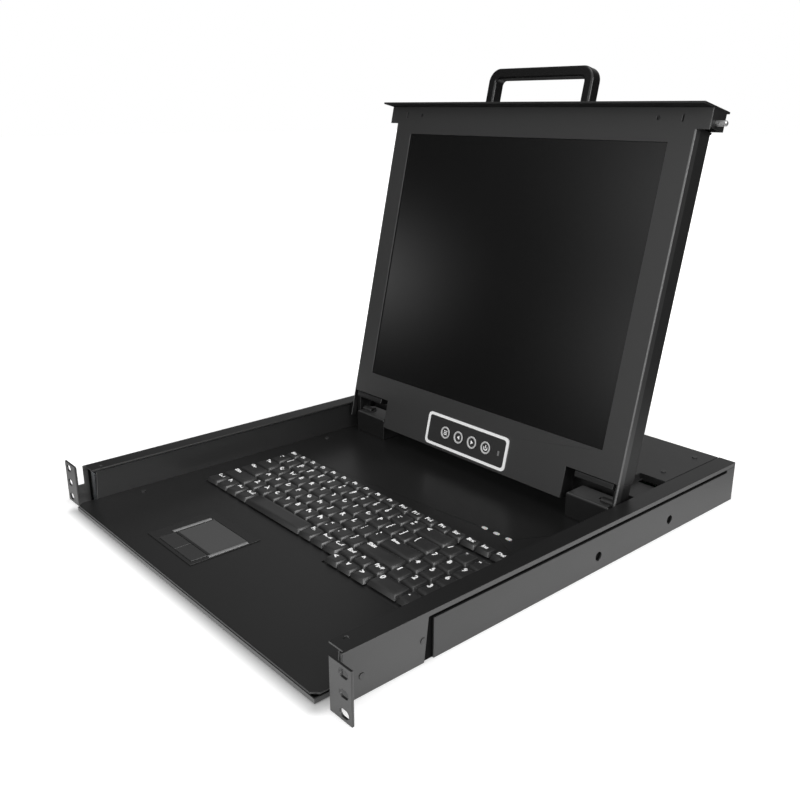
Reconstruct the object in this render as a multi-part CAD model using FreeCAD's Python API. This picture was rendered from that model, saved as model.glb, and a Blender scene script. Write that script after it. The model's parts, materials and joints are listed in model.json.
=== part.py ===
import FreeCAD, Part
import os

V = FreeCAD.Vector

# The part stands in the pose of its photograph: drawer closed, screen unit open and leaning back.
# X runs across the rack, Y from the front to the rear, Z up. The origin is under the middle of the depth.

# Overall
rack_width = 482.6            # over both ears
rail_length = 525.6           # front of the ears to the rear end
rail_height = 42.0
lip_reach = 5.1               # the drawer lip stands this far before the ears
sheet = 2.0                   # steel of the rails and ears

# Rack ears
ear_height = 43.7
ear_lap = 0.8                 # an ear's inner edge lies this far inside its cheek
slot_from_edge = 8.75         # from the ear's outer edge to the middle of its slots
slot_length = 10.0
slot_width = 6.5
slot_low = 5.95               # height of the lowest slot
slot_spacing = 15.875

# Rails
ear_reach = 22.0              # from a rail's outer face to the ear's outer edge
flange_reach = 18.8           # width of the top flange from the outer face
flange_start = 12.0           # behind the ear face
flange_hole_in = 13.3         # from the rail's outer face
flange_hole_y = 23.6
flange_hole_r = 2.2
cheek_length = 90.0           # front part that carries the ear
cheek_slant = 4.5
strip_height = 4.5            # long strip over the side plate
channel_start = 14.0
channel_lip_reach = 10.3
channel_lip = 1.5
plate_gap = 5.0               # slit between cheek and side plate
groove_height = 3.0           # open line between the side plate and the strip
groove_rear = 15.6            # the groove stops this far before the rail's end
plate_holes = (229.6, 117.6)  # before the rail's rear end
plate_hole_z = 14.0
plate_hole_r = 4.25
notch_gap = 0.8               # room around the latch pin in its open-top seat
rivet_places = ((26.0, 16.6), (84.0, 19.6))
rivet_r = 2.4
rivet_proud = 0.5

# Ball slides, measured inwards from the rail channel's inner face
slide_room = 9.8
slide_start = 16.0
slide_rear = 13.6             # before the rail's rear end
slide_step = 2.0              # each inner member starts this much further back
slide_sheet = 1.2
slide_outer_low = 4.0
slide_outer_high = 38.0
slide_outer_depth = 7.5
slide_gap = 0.6               # between the outer and the middle web
slide_middle_depth = 6.2
slide_inner_web = 1.4
slide_inner_depth = 5.8
ball_row = 3.2                # height of the space that the balls run in
ball_fit = 0.3                # between a ball and each of its tracks
cage_fit = 0.15               # between a ball and its hole in the cage
cage_sheet = 1.0
cage_half = 2.3
cage_balls = 3
ball_belt = 0.7                # a ball is a stack of square rings; the widest stands this far each way
cage_margin = 8.0             # from a cage's end to the ends of the tracks, drawer fully out
outer_ball_line = 5.0         # the outer balls run this far in from the rail channel
inner_ball_line = 6.1
drawer_travel = 430.0

# Drawer
tray_sheet = 1.5
tray_floor = 0.8
tray_floor_sheet = 1.2
tray_wall_top = 38.0
tray_wall_front = 15.0        # behind the ear face, at the foot
tray_wall_slant = 3.0
tray_rear_gap = 1.6           # before the rail ends
lip_wall = 1.2
lip_wall_top = 5.0
deck_top = 8.0
deck_sheet = 1.5
deck_side_gap = 0.2
deck_hem_bottom = 5.7
deck_behind = 24.5            # the deck ends this far behind the hinge axis
corner_cut = 5.0

# Keyboard
row_pitch = 20.4
keys_side_left = 31.8         # from the deck's left edge to the keys
keys_side_right = 33.71
keys_across = 18.1            # the keys' whole width in key pitches
arrow_keys_at = 12.1
space_key_at = 4.1
keys_front = 124.0
function_depth = 14.0
arrow_front = 112.0
arrow_depth = 16.0
numpad_front = 115.0
key_gap = 1.2
key_top = 13.0
key_bottom = 8.8
key_side_slope = 1.5
key_front_slope = 1.9
key_back_slope = 0.9
stem_size = 5.4
stem_bottom = 4.6
stem_gap = 0.3
board_top = 6.5
board_sheet = 1.2
board_margin = 6.0
keyboard_margin = 1.0

# Touchpad
pad_x = (-97.0, -14.0)
pad_y = (19.0, 92.0)
pad_rim = 0.8
pad_skirt_inset = 4.0
pad_skirt_bottom = 5.2
pad_opening_gap = 0.3
touch_x = (-81.0, -19.0)
touch_y = (42.5, 82.0)
touch_gap = 0.3
touch_drop = 0.4              # the pad lies this much under the rim
touch_board_top = 6.0
touch_button_y = (22.5, 40.0)
touch_button_bottom = 6.9
touch_button_gap = 0.5
touch_button_edge = 0.4

# Indicators
lens_places = (106.0, 121.5, 137.0)
lens_y = 268.9
lens_length = 7.0
lens_width = 4.0
lens_proud = 0.3

# Hinge
axis_before_rear = 164.1      # hinge axis to the rear end of the rails
axis_z = 31.5
lean = 12.63                  # the open screen leans back by this angle
block_width = 50.5
block_depth = 27.0
block_top = 34.0
block_round = 2.5
knuckle_length = 15.5
knuckle_r = 6.2
pin_r = 3.0
pin_fit = 0.05
pin_head_r = 5.0
pin_head = 1.8
arm_width = 5.6               # its outer face lies on the screen cover's wall
arm_gap = 0.7                 # to the hinge block
arm_eye_r = 8.0
foot_width = 44.0             # the arm's foot under the screen unit, inwards of the arm
foot_low = 17.2               # above the axis
foot_round = 1.5
foot_gap = 0.3
arm_slit_gap = 0.3
arm_top = 70.0
arm_front = -11.0
arm_back = 7.0

# Screen unit, upright, from the hinge axis
face_reach = 16.0             # axis to the face
unit_depth = 26.0
unit_side_gap = 8.2           # to the drawer's outer wall face, on each side
unit_low = 24.4
unit_wall = 1.5
unit_round = 3.0
tongue_gap = 4.2              # to the hinge blocks
tongue_low = -8.1
tongue_depth = 16.0
strip_height_front = 18.5     # wide strip under the front panel
strip_side_gap = 6.8          # to the inner edge of the rack ears
bezel_sheet = 1.5
border_side = 25.9
border_low = 26.7
border_high = 11.8
glass_lap = 2.5
glass_sheet = 1.2
module_lap = 7.0
module_depth = 10.0
module_step = 12.0
strip_hole_in = 52.7          # from the strip's ends
strip_hole_r = 1.8
strip_slot_in = 27.7
strip_slot = (1.6, 6.0)
vent_rows = 4
vent_columns = 12
vent_size = (14.0, 2.4)
vent_pitch = (22.0, 9.0)
vent_from_top = 108.4

# Front panel and handle
panel_gap = 0.3               # folded down, the panel stands this far before the drawer's lip
panel_sheet = 2.0
panel_ahead = 15.3            # the panel stands this far before the face
panel_behind = 28.0
panel_fold = 15.0             # its return flange behind the strip
panel_fold_end = 3.0          # from the flange's end to the latch brackets
handle_width = 138.0
handle_height = 40.0
handle_bar = 10.5
handle_depth = 14.0
handle_centre = -1.0
handle_outer_round = 14.0
handle_inner_round = 5.0
handle_edge = 1.4
handle_screw_r = 3.5
handle_screw = 2.4

# Latches
latch_drop = 11.4             # under the panel's inner face
latch_y = -6.0
bolt_r = 2.5
bolt_fit = 0.3
bolt_proud = 0.3              # past the rail's outer face
bolt_nose = 1.0
bolt_tail = 1.0               # past the bracket's inner end
bolt_collar_r = 4.2
bolt_collar = (16.0, 19.0)    # from the bracket's inner end
tab_width = 8.0
tab_along = (8.5, 13.0)       # from the bracket's inner end
tab_back = 11.5
bracket_length = 31.2
bracket_end_gap = 0.5         # to the strip's end
bracket_back = 8.0
bracket_height = 16.4
bracket_sheet = 1.5

# Menu buttons
menu_x = (-61.3, 60.0)
menu_z = (-5.0, 31.3)
menu_ring = 3.0
menu_ring_proud = 1.0
menu_sheet = 0.6
menu_round = 5.0
menu_button_z = 13.2
menu_button_x = (-31.2, -10.9, 9.6, 30.1)
menu_button_r = 6.9
menu_button_gap = 0.35
menu_button_proud = 1.5
menu_button_depth = 3.0
menu_button_rim = 1.2
menu_button_dish = 0.5
menu_stem_r = 2.0
menu_stem = 1.5
menu_board_y = -11.4
menu_board_sheet = 1.6
menu_board_half = (46.0, 9.0)
menu_lamp_x = 46.5
menu_lamp_r = 1.2

# Rear cover and what it holds
cover_side_gap = 0.8          # to the rails' top flanges
cover_behind = 22.5           # the cover starts this far behind the hinge axis
cover_sheet = 1.5
cover_rear_gap = 0.6
pocket_width = 29.7
pocket_depth = 43.0
pocket_floor = 36.0
pocket_slot = 8.0             # opening in the pocket's floor along its rear wall
pocket_slot_side = 3.0
rear_panel_sheet = 1.5
rear_panel_top = 39.0
rear_panel_inset = 3.5
standoff_r = 3.0
circuit_z = 7.0
circuit_sheet = 1.6
circuit_gap = 6.0
board_side_gap = 9.7          # from the cover's side to a board
power_board_width = 150.0
board_space = 20.0            # between the two boards
circuit_behind = 14.0         # from the cover's front to the boards
circuit_before = 19.0         # from the boards to the tray's rear
# Parts of a board as (x0, x1, y0, y1, height); x counts from its left edge, or below zero from its right
power_parts = ((20.0, 55.0, 12.0, 47.0, 22.0), (70.0, 95.0, 14.0, 42.0, 20.0), (-40.0, -12.0, 10.0, 52.0, 16.0))
video_parts = ((25.0, 55.0, 22.0, 52.0, 5.0), (85.0, 115.0, 32.0, 62.0, 4.0), (-65.0, -45.0, 17.0, 37.0, 8.0))
driver_board_width = 140.0
driver_board_height = 110.0
driver_board_low = 43.9       # above the screen opening's lower edge
driver_board_left = 25.0      # its middle lies this far left of the unit's
driver_parts = ((15.0, 45.0, 15.0, 35.0, 6.0), (65.0, 87.0, 55.0, 77.0, 4.0), (-35.0, -11.0, 25.0, 45.0, 6.5))
inlet_from_side = 55.5        # its middle from the drawer's outer wall face
inlet_size = (27.0, 19.5)
inlet_flange = 1.4
inlet_border = 3.0
inlet_depth = 18.0
inlet_z = 19.0
socket_fit = 0.2
blade_places = ((-7.0, -2.0), (0.0, 3.0), (7.0, -2.0))
inlet_rim = 1.5               # wall around the inlet's mouth
inlet_floor = 2.5
blade_half = 1.0
blade_reach = 2.0
blade_recess = 3.0
switch_from_inlet = 35.0      # between the middles of switch and inlet
switch_size = (19.0, 13.0)
switch_depth = 12.0
switch_rim = 1.75
rocker_side_gap = 0.3
rocker_tilt_room = 1.0
rocker_tilt = 7.0             # at rest one side is pressed in
rocker_pivot = 3.0            # behind the panel's outer face
rocker_pin_r = 1.5
rocker_proud = 1.0
rocker_crease = 0.2
rocker_depth = (5.0, 7.0)
rocker_taper = 1.2
port_x = -60.0
port_size = (53.0, 12.0)
port_flange = (69.0, 12.5)
port_flange_sheet = 0.8
port_shell = (48.0, 8.5)
port_shell_proud = 2.4
port_wall = 0.8
port_room_depth = 3.0
port_depth = 10.0
jack_r = 2.4
jack_gap = 4.0
jack_proud = 2.6
screw_r = 2.6
screw_head = 0.9
screw_slot = 0.6
screw_slot_depth = 0.4
screw_hole_r = 1.6
screw_side = 15.5             # from the edges of cover and tray to their screws
screw_rear = 19.0             # from the tray's rear
screw_pitch = 58.0            # between the two rows on the cover
deck_screw_rows = (60.0, 300.0)

# Places worked out from the sizes above
rack_half = rack_width / 2
rail_half = rack_half - ear_reach
ear_y = -(rail_length - lip_reach) / 2
lip_y = ear_y - lip_reach
rear_y = ear_y + rail_length
tray_rear = rear_y - tray_rear_gap
floor_top = tray_floor + tray_floor_sheet
web_outer = rail_half - sheet
web_inner = web_outer - sheet
ear_inner = web_outer - ear_lap
flange_inner = rail_half - flange_reach
strip_bottom = rail_height - strip_height
plate_height = strip_bottom - groove_height
slide_length = rail_length - slide_start - slide_rear
middle_low = slide_outer_low + slide_sheet + ball_row
middle_high = slide_outer_high - slide_sheet - ball_row
inner_low = middle_low + slide_sheet + ball_row
inner_high = middle_high - slide_sheet - ball_row
tray_half = web_inner - slide_room
deck_half = tray_half - tray_sheet - deck_side_gap
keys_left = keys_side_left - deck_half
key_pitch = (2 * deck_half - keys_side_left - keys_side_right) / keys_across
axis_y = rail_length - axis_before_rear
deck_end = axis_y + deck_behind
unit_half = tray_half - unit_side_gap
panel_inner = axis_y + lip_reach + panel_gap
panel_outer = panel_inner + panel_sheet
unit_high = panel_inner - strip_height_front
opening_half = unit_half - border_side
opening_low = unit_low + border_low
opening_high = unit_high - border_high
strip_half = ear_inner - strip_side_gap
bezel_back = -face_reach + bezel_sheet
unit_back = unit_depth - face_reach
glass_back = bezel_back + glass_sheet
arm_x = (unit_half - unit_wall - arm_width, unit_half - unit_wall)
block_x = (arm_x[0] - arm_gap - block_width, arm_x[0] - arm_gap)
knuckle_start = block_x[1] - knuckle_length
tongue_half = block_x[0] - tongue_gap
bracket_x = (strip_half - bracket_end_gap - bracket_length, strip_half - bracket_end_gap)
latch_z = panel_inner - latch_drop
bolt_reach = rail_half + bolt_proud
bolt_seat_y = axis_y - latch_z
bolt_seat_z = axis_z + latch_y
touch_button_split = (touch_x[0] + touch_x[1]) / 2
cover_half = flange_inner - cover_side_gap
cover_start = axis_y + cover_behind
pocket_inner = cover_half - pocket_width
pocket_end = cover_start + pocket_depth
panel_front = tray_rear - rear_panel_inset
panel_back = panel_front + rear_panel_sheet
circuit_y = (ear_y + cover_start + circuit_behind, tray_rear - circuit_before)
inlet_x = tray_half - inlet_from_side
switch_x = inlet_x - switch_from_inlet


def block(x, y, z):
    """A box between the low and high values of each axis."""
    return Part.makeBox(x[1] - x[0], y[1] - y[0], z[1] - z[0], V(x[0], y[0], z[0]))


def both(x):
    """A range as wide on both sides of the middle."""
    return (-x, x)


def set_back(y):
    """A range of depths behind the ear face, in the part's frame."""
    return (ear_y + y[0], ear_y + y[1])


def prism_x(points, x):
    """An outline of (y, z) points carried from x[0] to x[1]."""
    corners = [V(x[0], y, z) for y, z in points]
    face = Part.Face(Part.makePolygon(corners + corners[:1]))
    return face.extrude(V(x[1] - x[0], 0, 0))


def prism_y(points, y):
    """An outline of (x, z) points carried from y[0] to y[1]."""
    corners = [V(x, y[0], z) for x, z in points]
    face = Part.Face(Part.makePolygon(corners + corners[:1]))
    return face.extrude(V(0, y[1] - y[0], 0))


def prism_z(points, z):
    """An outline of (x, y) points carried from z[0] to z[1]."""
    corners = [V(x, y, z[0]) for x, y in points]
    face = Part.Face(Part.makePolygon(corners + corners[:1]))
    return face.extrude(V(0, 0, z[1] - z[0]))


def rod_x(r, x, y, z):
    return Part.makeCylinder(r, x[1] - x[0], V(x[0], y, z), V(1, 0, 0))


def rod_y(r, x, y, z):
    return Part.makeCylinder(r, y[1] - y[0], V(x, y[0], z), V(0, 1, 0))


def rod_z(r, x, y, z):
    return Part.makeCylinder(r, z[1] - z[0], V(x, y, z[0]), V(0, 0, 1))


def slot_y(x, z, length, width, y):
    """A slot with round ends, long along X, through the depths y."""
    straight = (length - width) / 2
    middle = block((x - straight, x + straight), y, (z - width / 2, z + width / 2))
    ends = [rod_y(width / 2, x + side * straight, y, z) for side in (-1, 1)]
    return middle.fuse(ends)


def rounded_plate(x, z, y, r):
    """An upright plate with its four corners rounded."""
    plate = block(x, y, z)
    edges = [e for e in plate.Edges if abs(e.tangentAt(e.FirstParameter).y) > 0.9]
    return plate.makeFillet(r, edges)


def mirrored(shape):
    return shape.mirror(V(0, 0, 0), V(1, 0, 0))


def one(shape):
    """A clean single shape with leftover seams removed."""
    return shape.removeSplitter()


def to_rest(shape):
    """Takes a shape of the upright screen unit to its leaning place on the hinge axis."""
    placed = shape.copy()
    placed.rotate(V(0, 0, 0), V(1, 0, 0), -lean)
    placed.translate(V(0, ear_y + axis_y, axis_z))
    return placed


def save(name, shape):
    shape.exportStep("parts/" + name + ".step")


def save_pair(name, shape):
    save(name + "_right", shape)
    save(name + "_left", mirrored(shape))


# Rails


def ear_bracket():
    """Rack ear, cheek, long top strip and top flange, bent from one sheet."""
    ear = block((ear_inner, rack_half), (ear_y, ear_y + sheet), (0, ear_height))
    for step in range(3):
        z = slot_low + step * slot_spacing
        through = (ear_y - 1, ear_y + sheet + 1)
        ear = ear.cut(slot_y(rack_half - slot_from_edge, z, slot_length, slot_width, through))
    outline = [
        (ear_y, 0),
        (ear_y + cheek_length - cheek_slant, 0),
        (ear_y + cheek_length, strip_bottom),
        (rear_y, strip_bottom),
        (rear_y, rail_height),
        (ear_y, rail_height),
    ]
    cheek = prism_x(outline, (web_outer, rail_half))
    flange = block(
        (flange_inner, rail_half), (ear_y + flange_start, rear_y), (rail_height - sheet, rail_height)
    )
    reach = bolt_r + notch_gap
    notch = block(
        (web_outer - 1, rail_half + 1), set_back((bolt_seat_y - reach, bolt_seat_y + reach)),
        (bolt_seat_z - reach, rail_height + 1),
    )
    hole_x = rail_half - flange_hole_in
    hole = rod_z(flange_hole_r, hole_x, ear_y + flange_hole_y, (rail_height - sheet - 1, rail_height + 1))
    bracket = ear.fuse([cheek, flange]).cut([notch, hole] + rivet_holes())
    return one(bracket)


def rivet_holes():
    return [rod_x(rivet_r, (web_inner - 1, rail_half + 1), ear_y + y, z) for y, z in rivet_places]


def rail_channel():
    """Inner channel of the rail; the slide is fixed to its web."""
    y = (ear_y + channel_start, rear_y)
    web = block((web_inner, web_outer), y, (0, rail_height - sheet))
    lip = block((rail_half - sheet - channel_lip_reach, web_inner), y, (0, channel_lip))
    return one(web.fuse(lip).cut(rivet_holes()))


def side_plate():
    """Flush plate behind the cheek; its rear end closes up to the long strip."""
    start = ear_y + cheek_length + plate_gap
    end = rear_y - groove_rear
    outline = [
        (start, 0),
        (rear_y, 0),
        (rear_y, strip_bottom),
        (end, strip_bottom),
        (end, plate_height),
        (start, plate_height),
    ]
    plate = prism_x(outline, (web_outer, rail_half))
    for before in plate_holes:
        plate = plate.cut(rod_x(plate_hole_r, (web_outer - 1, rail_half + 1), rear_y - before, plate_hole_z))
    return plate


def rail_rivets():
    """Flat heads that stand a little proud of the cheek."""
    return [rod_x(rivet_r, (web_inner, rail_half + rivet_proud), ear_y + y, z) for y, z in rivet_places]


# Ball slides


def slide_channel(back, depth, web, low, high, start):
    """A C-shaped slide member; back is the web's far face from the rail, depth may point either way."""
    turn = 1 if depth > 0 else -1
    tip = back + depth
    inside = back + turn * web
    profile = [
        (back, low),
        (tip, low),
        (tip, low + slide_sheet),
        (inside, low + slide_sheet),
        (inside, high - slide_sheet),
        (tip, high - slide_sheet),
        (tip, high),
        (back, high),
    ]
    points = [(web_inner - w, z) for w, z in profile]
    y = (ear_y + slide_start + start, ear_y + slide_start + slide_length - start)
    return prism_y(points, y)


def slide_outer():
    return slide_channel(0, slide_outer_depth, slide_sheet, slide_outer_low, slide_outer_high, 0)


def slide_middle():
    back = slide_sheet + slide_gap
    return slide_channel(back, slide_middle_depth, slide_sheet, middle_low, middle_high, slide_step)


def slide_inner():
    return slide_channel(slide_room, -slide_inner_depth, slide_inner_web, inner_low, inner_high, 2 * slide_step)


def ball(r, x, y, z):
    """A ball drawn with flat facets, as a stack of eight-sided rings."""
    belt = r * ball_belt
    widths = [(-r, belt / 2), (-belt, belt), (0, r), (belt, belt), (r, belt / 2)]
    rings = []
    for height, width in widths:
        short = width * 0.41
        corners = [
            (width, short), (short, width), (-short, width), (-width, short),
            (-width, -short), (-short, -width), (short, -width), (width, -short),
        ]
        points = [V(x + px, y + py, z + height) for px, py in corners]
        rings.append(Part.makePolygon(points + points[:1]))
    return Part.makeLoft(rings, True, True)


def ball_cages(line, z):
    """Two retainer strips at height z above and below, each with its loose balls."""
    start = ear_y + slide_start + drawer_travel / 4 + cage_margin
    length = slide_length - drawer_travel / 2 - 4 * slide_step - 2 * cage_margin
    x = web_inner - line
    r = ball_row / 2 - ball_fit
    room = r + cage_fit
    strip_z = (z - cage_sheet / 2, z + cage_sheet / 2)
    strip = block((x - cage_half, x + cage_half), (start, start + length), strip_z)
    balls = []
    for number in range(cage_balls):
        y = start + length * (number + 0.5) / cage_balls
        strip = strip.cut(block((x - room, x + room), (y - room, y + room), (z - ball_row, z + ball_row)))
        balls.append(ball(r, x, y, z))
    return [strip] + balls


def cage_pair(line, low, high):
    """The strips of both rows on both sides of the drawer."""
    pieces = ball_cages(line, low) + ball_cages(line, high)
    return Part.makeCompound(pieces + [mirrored(piece) for piece in pieces])


def outer_cages():
    return cage_pair(outer_ball_line, middle_low - ball_row / 2, middle_high + ball_row / 2)


def inner_cages():
    return cage_pair(inner_ball_line, inner_low - ball_row / 2, inner_high + ball_row / 2)


# Drawer


def tray_pan():
    """Floor, side walls and the lower half of the front lip."""
    floor = block(both(tray_half), (lip_y, tray_rear), (tray_floor, floor_top))
    lip = block(both(tray_half), (lip_y, lip_y + lip_wall), (tray_floor, lip_wall_top))
    outline = [
        (ear_y + tray_wall_front, tray_floor),
        (tray_rear, tray_floor),
        (tray_rear, tray_wall_top),
        (ear_y + tray_wall_front + tray_wall_slant, tray_wall_top),
    ]
    wall = prism_x(outline, (tray_half - tray_sheet, tray_half))
    low = block(
        (tray_half - tray_sheet, tray_half), (lip_y, ear_y + tray_wall_front), (tray_floor, lip_wall_top)
    )
    walls = [wall, mirrored(wall), low, mirrored(low)]
    return one(floor.fuse([lip] + walls))


def keyboard_outline(margin):
    """The keyboard's L-shaped outline: the arrow keys and number pad reach further forward."""
    left = keys_left - margin
    right = keys_left + keys_across * key_pitch + margin
    step = arrow_left() - margin
    back = ear_y + function_front() + function_depth + margin
    front = ear_y + keys_front - margin
    nose = ear_y + arrow_front - margin
    return [(left, front), (step, front), (step, nose), (right, nose), (right, back), (left, back)]


def keyboard_deck():
    """Upper sheet of the drawer, with its hemmed front edge and the openings in it."""
    half = deck_half
    z = (deck_top - deck_sheet, deck_top)
    wall = ear_y + tray_wall_front - deck_side_gap
    outline = [
        (-tray_half + corner_cut, lip_y),
        (tray_half - corner_cut, lip_y),
        (tray_half, lip_y + corner_cut),
        (tray_half, wall),
        (half, wall),
        (half, ear_y + deck_end),
        (-half, ear_y + deck_end),
        (-half, wall),
        (-tray_half, wall),
        (-tray_half, lip_y + corner_cut),
    ]
    top = prism_z(outline, z)
    hem = block(both(tray_half - corner_cut), (lip_y, lip_y + lip_wall), (deck_hem_bottom, deck_top))
    side = block((half - deck_sheet, half), (ear_y + tray_wall_front, ear_y + deck_end), (floor_top, deck_top))
    rear = block(both(half), (ear_y + deck_end - deck_sheet, ear_y + deck_end), (floor_top, deck_top))
    deck = top.fuse([hem, side, mirrored(side), rear])
    cuts = [prism_z(keyboard_outline(keyboard_margin), (z[0] - 1, z[1] + 1))]
    inset = pad_skirt_inset - pad_opening_gap
    through = (z[0] - 1, z[1] + 1)
    pad_room = set_back((pad_y[0] + inset, pad_y[1] - inset))
    cuts.append(block((pad_x[0] + inset, pad_x[1] - inset), pad_room, through))
    for x in lens_places:
        cuts.append(lens(x, (z[0] - 1, z[1] + 1)))
    return one(deck.cut(cuts))


def lens(x, z):
    """A window with half-round ends, long along X."""
    y = ear_y + lens_y
    straight = (lens_length - lens_width) / 2
    middle = block((x - straight, x + straight), (y - lens_width / 2, y + lens_width / 2), z)
    ends = [rod_z(lens_width / 2, x + side * straight, y, z) for side in (-1, 1)]
    return one(middle.fuse(ends))


def indicator_lenses():
    return [lens(x, (deck_top - deck_sheet, deck_top + lens_proud)) for x in lens_places]


# Keyboard


def function_front():
    return keys_front + 5 * row_pitch


def arrow_left():
    return keys_left + arrow_keys_at * key_pitch


def numpad_left():
    return arrow_left() + 3 * key_pitch


def key(x, y, width, depth):
    """One cap with sloping sides on a square stem; x and y are its front left corner with the gaps."""
    gap = key_gap / 2
    x0 = x + gap
    x1 = x + width - gap
    y0 = ear_y + y + gap
    y1 = ear_y + y + depth - gap
    top = (x0 + key_side_slope, x1 - key_side_slope, y0 + key_front_slope, y1 - key_back_slope)
    cap = frustum((x0, x1, y0, y1), key_bottom, top, key_top)
    return cap.fuse(key_stem(x + width / 2, y + depth / 2, stem_size, (stem_bottom, key_bottom + 1)))


def frustum(low, z0, high, z1):
    """A solid between two rectangles (x0, x1, y0, y1) at two heights."""
    wires = []
    for (x0, x1, y0, y1), z in ((low, z0), (high, z1)):
        corners = [V(x0, y0, z), V(x1, y0, z), V(x1, y1, z), V(x0, y1, z)]
        wires.append(Part.makePolygon(corners + corners[:1]))
    return Part.makeLoft(wires, True, True)


def key_stem(x, y, size, z):
    return block((x - size / 2, x + size / 2), (ear_y + y - size / 2, ear_y + y + size / 2), z)


def key_places():
    """Every key as (group, x, y, width, depth), from widths in key pitches."""
    rows = {
        "function": (keys_left, function_front(), function_depth, [keys_across / 18] * 18),
        "number": (keys_left, keys_front + 4 * row_pitch, row_pitch, [1] * 13 + [2.1]),
        "upper": (keys_left, keys_front + 3 * row_pitch, row_pitch, [1.5] + [1] * 12 + [1.6]),
        "home": (keys_left, keys_front + 2 * row_pitch, row_pitch, [1.75] + [1] * 11 + [2.35]),
        "lower": (keys_left, keys_front + row_pitch, row_pitch, [2.25] + [1] * 10 + [2.85]),
        "bottom": (keys_left, keys_front, row_pitch, [1.1, 1, 1, 1]),
        "bottom right": (keys_left + (space_key_at + 5) * key_pitch, keys_front, row_pitch, [1, 1, 1]),
        "arrows": (arrow_left(), arrow_front, arrow_depth, [1, 1, 1]),
    }
    for name, (x, y, depth, widths) in rows.items():
        group = name if name not in ("bottom right", "arrows") else "bottom"
        for width in widths:
            yield group, x, y, width * key_pitch, depth
            x += width * key_pitch
    upper_y = arrow_front + arrow_depth
    for column in range(3):
        x = arrow_left() + column * key_pitch
        yield "bottom", x, upper_y, key_pitch, keys_front + row_pitch - upper_y
    for row in range(1, 5):
        for column in range(3):
            x = numpad_left() + column * key_pitch
            yield "numpad", x, numpad_front + row * row_pitch, key_pitch, row_pitch
    yield "numpad", numpad_left(), numpad_front, 2 * key_pitch, row_pitch
    yield "numpad", numpad_left() + 2 * key_pitch, numpad_front, key_pitch, row_pitch
    yield "space", keys_left + space_key_at * key_pitch, keys_front, 5 * key_pitch, row_pitch


def key_board():
    """Plate under the deck that guides the key stems."""
    plate = prism_z(keyboard_outline(board_margin), (board_top - board_sheet, board_top))
    holes = []
    for _, x, y, width, depth in key_places():
        size = stem_size + 2 * stem_gap
        holes.append(key_stem(x + width / 2, y + depth / 2, size, (board_top - board_sheet - 1, board_top + 1)))
    return plate.cut(holes)


# Touchpad


def touchpad_bezel():
    rim = block(pad_x, set_back(pad_y), (deck_top, deck_top + pad_rim))
    inset = pad_skirt_inset
    skirt = block(
        (pad_x[0] + inset, pad_x[1] - inset),
        set_back((pad_y[0] + inset, pad_y[1] - inset)),
        (pad_skirt_bottom, deck_top),
    )
    z = (pad_skirt_bottom - 1, deck_top + pad_rim + 1)
    window = block(touch_x, set_back(touch_y), z)
    buttons = block(touch_x, set_back(touch_button_y), z)
    return one(rim.fuse(skirt).cut([window, buttons]))


def touchpad():
    """Pad on its circuit board, which also carries the two buttons' switches."""
    x = (touch_x[0] + touch_gap, touch_x[1] - touch_gap)
    y = (touch_y[0] + touch_gap, touch_y[1] - touch_gap)
    pad = block(x, set_back(y), (pad_skirt_bottom, deck_top + pad_rim - touch_drop))
    switches = (touch_button_y[0] + touch_gap, touch_button_y[1] - touch_gap)
    shelf = block(x, set_back(switches), (pad_skirt_bottom, touch_board_top))
    inset = pad_skirt_inset
    board = block(
        (pad_x[0] + inset, pad_x[1] - inset),
        set_back((pad_y[0] + inset, pad_y[1] - inset)),
        (pad_skirt_bottom - board_sheet, pad_skirt_bottom),
    )
    return one(board.fuse([shelf, pad]))


def touch_button():
    """The right-hand button; its outer edge is rounded over."""
    x = (touch_button_split + touch_button_gap / 2, touch_x[1] - touch_button_gap)
    y = (touch_button_y[0] + touch_button_gap, touch_button_y[1] - touch_button_gap)
    top = deck_top + pad_rim + touch_button_edge
    button = block(x, set_back(y), (touch_button_bottom, top))
    rims = [e for e in button.Edges if e.CenterOfMass.z > top - touch_button_edge / 2]
    return button.makeChamfer(touch_button_edge, rims)


# Hinge


def hinge_block():
    """Seat of the hinge on the deck, with the knuckle that the pin turns in."""
    y = set_back((axis_y - block_depth / 2, axis_y + block_depth / 2))
    seat = block(block_x, y, (deck_top, block_top))
    rims = [e for e in seat.Edges if e.CenterOfMass.z > block_top - 0.1]
    seat = seat.makeFillet(block_round, rims)
    knuckle = rod_x(knuckle_r, (knuckle_start, block_x[1]), ear_y + axis_y, axis_z)
    bore = rod_x(pin_r + pin_fit, (knuckle_start - 4, block_x[1] + 1), ear_y + axis_y, axis_z)
    return one(seat.fuse(knuckle).cut(bore))


def hinge_arm():
    """Strap with an eye, from the axis up into the screen unit, and a foot under the unit; upright."""
    eye = rod_x(arm_eye_r, arm_x, 0, 0)
    strap = block(arm_x, (arm_front, arm_back), (unit_low - 10, arm_top))
    neck = prism_x(
        [(-arm_eye_r, 0), (arm_eye_r, 0), (arm_back, unit_low - 10), (arm_front, unit_low - 10)], arm_x
    )
    foot_x = (arm_x[0] - foot_width, arm_x[0] + 1)
    foot = block(foot_x, (-face_reach, arm_back), (foot_low, unit_low - foot_gap))
    front = [e for e in foot.Edges if e.CenterOfMass.y < -face_reach + 0.1 and abs(e.tangentAt(0).x) > 0.9]
    foot = foot.makeFillet(foot_round, front)
    bore = rod_x(pin_r, (arm_x[0] - 1, arm_x[1] + 1), 0, 0)
    return one(eye.fuse([neck, strap, foot]).cut(bore))


def hinge_pin():
    pin = rod_x(pin_r, (knuckle_start - 2, arm_x[1]), 0, 0)
    head = rod_x(pin_head_r, (arm_x[1], arm_x[1] + pin_head), 0, 0)
    return one(pin.fuse(head))


# Screen unit


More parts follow.
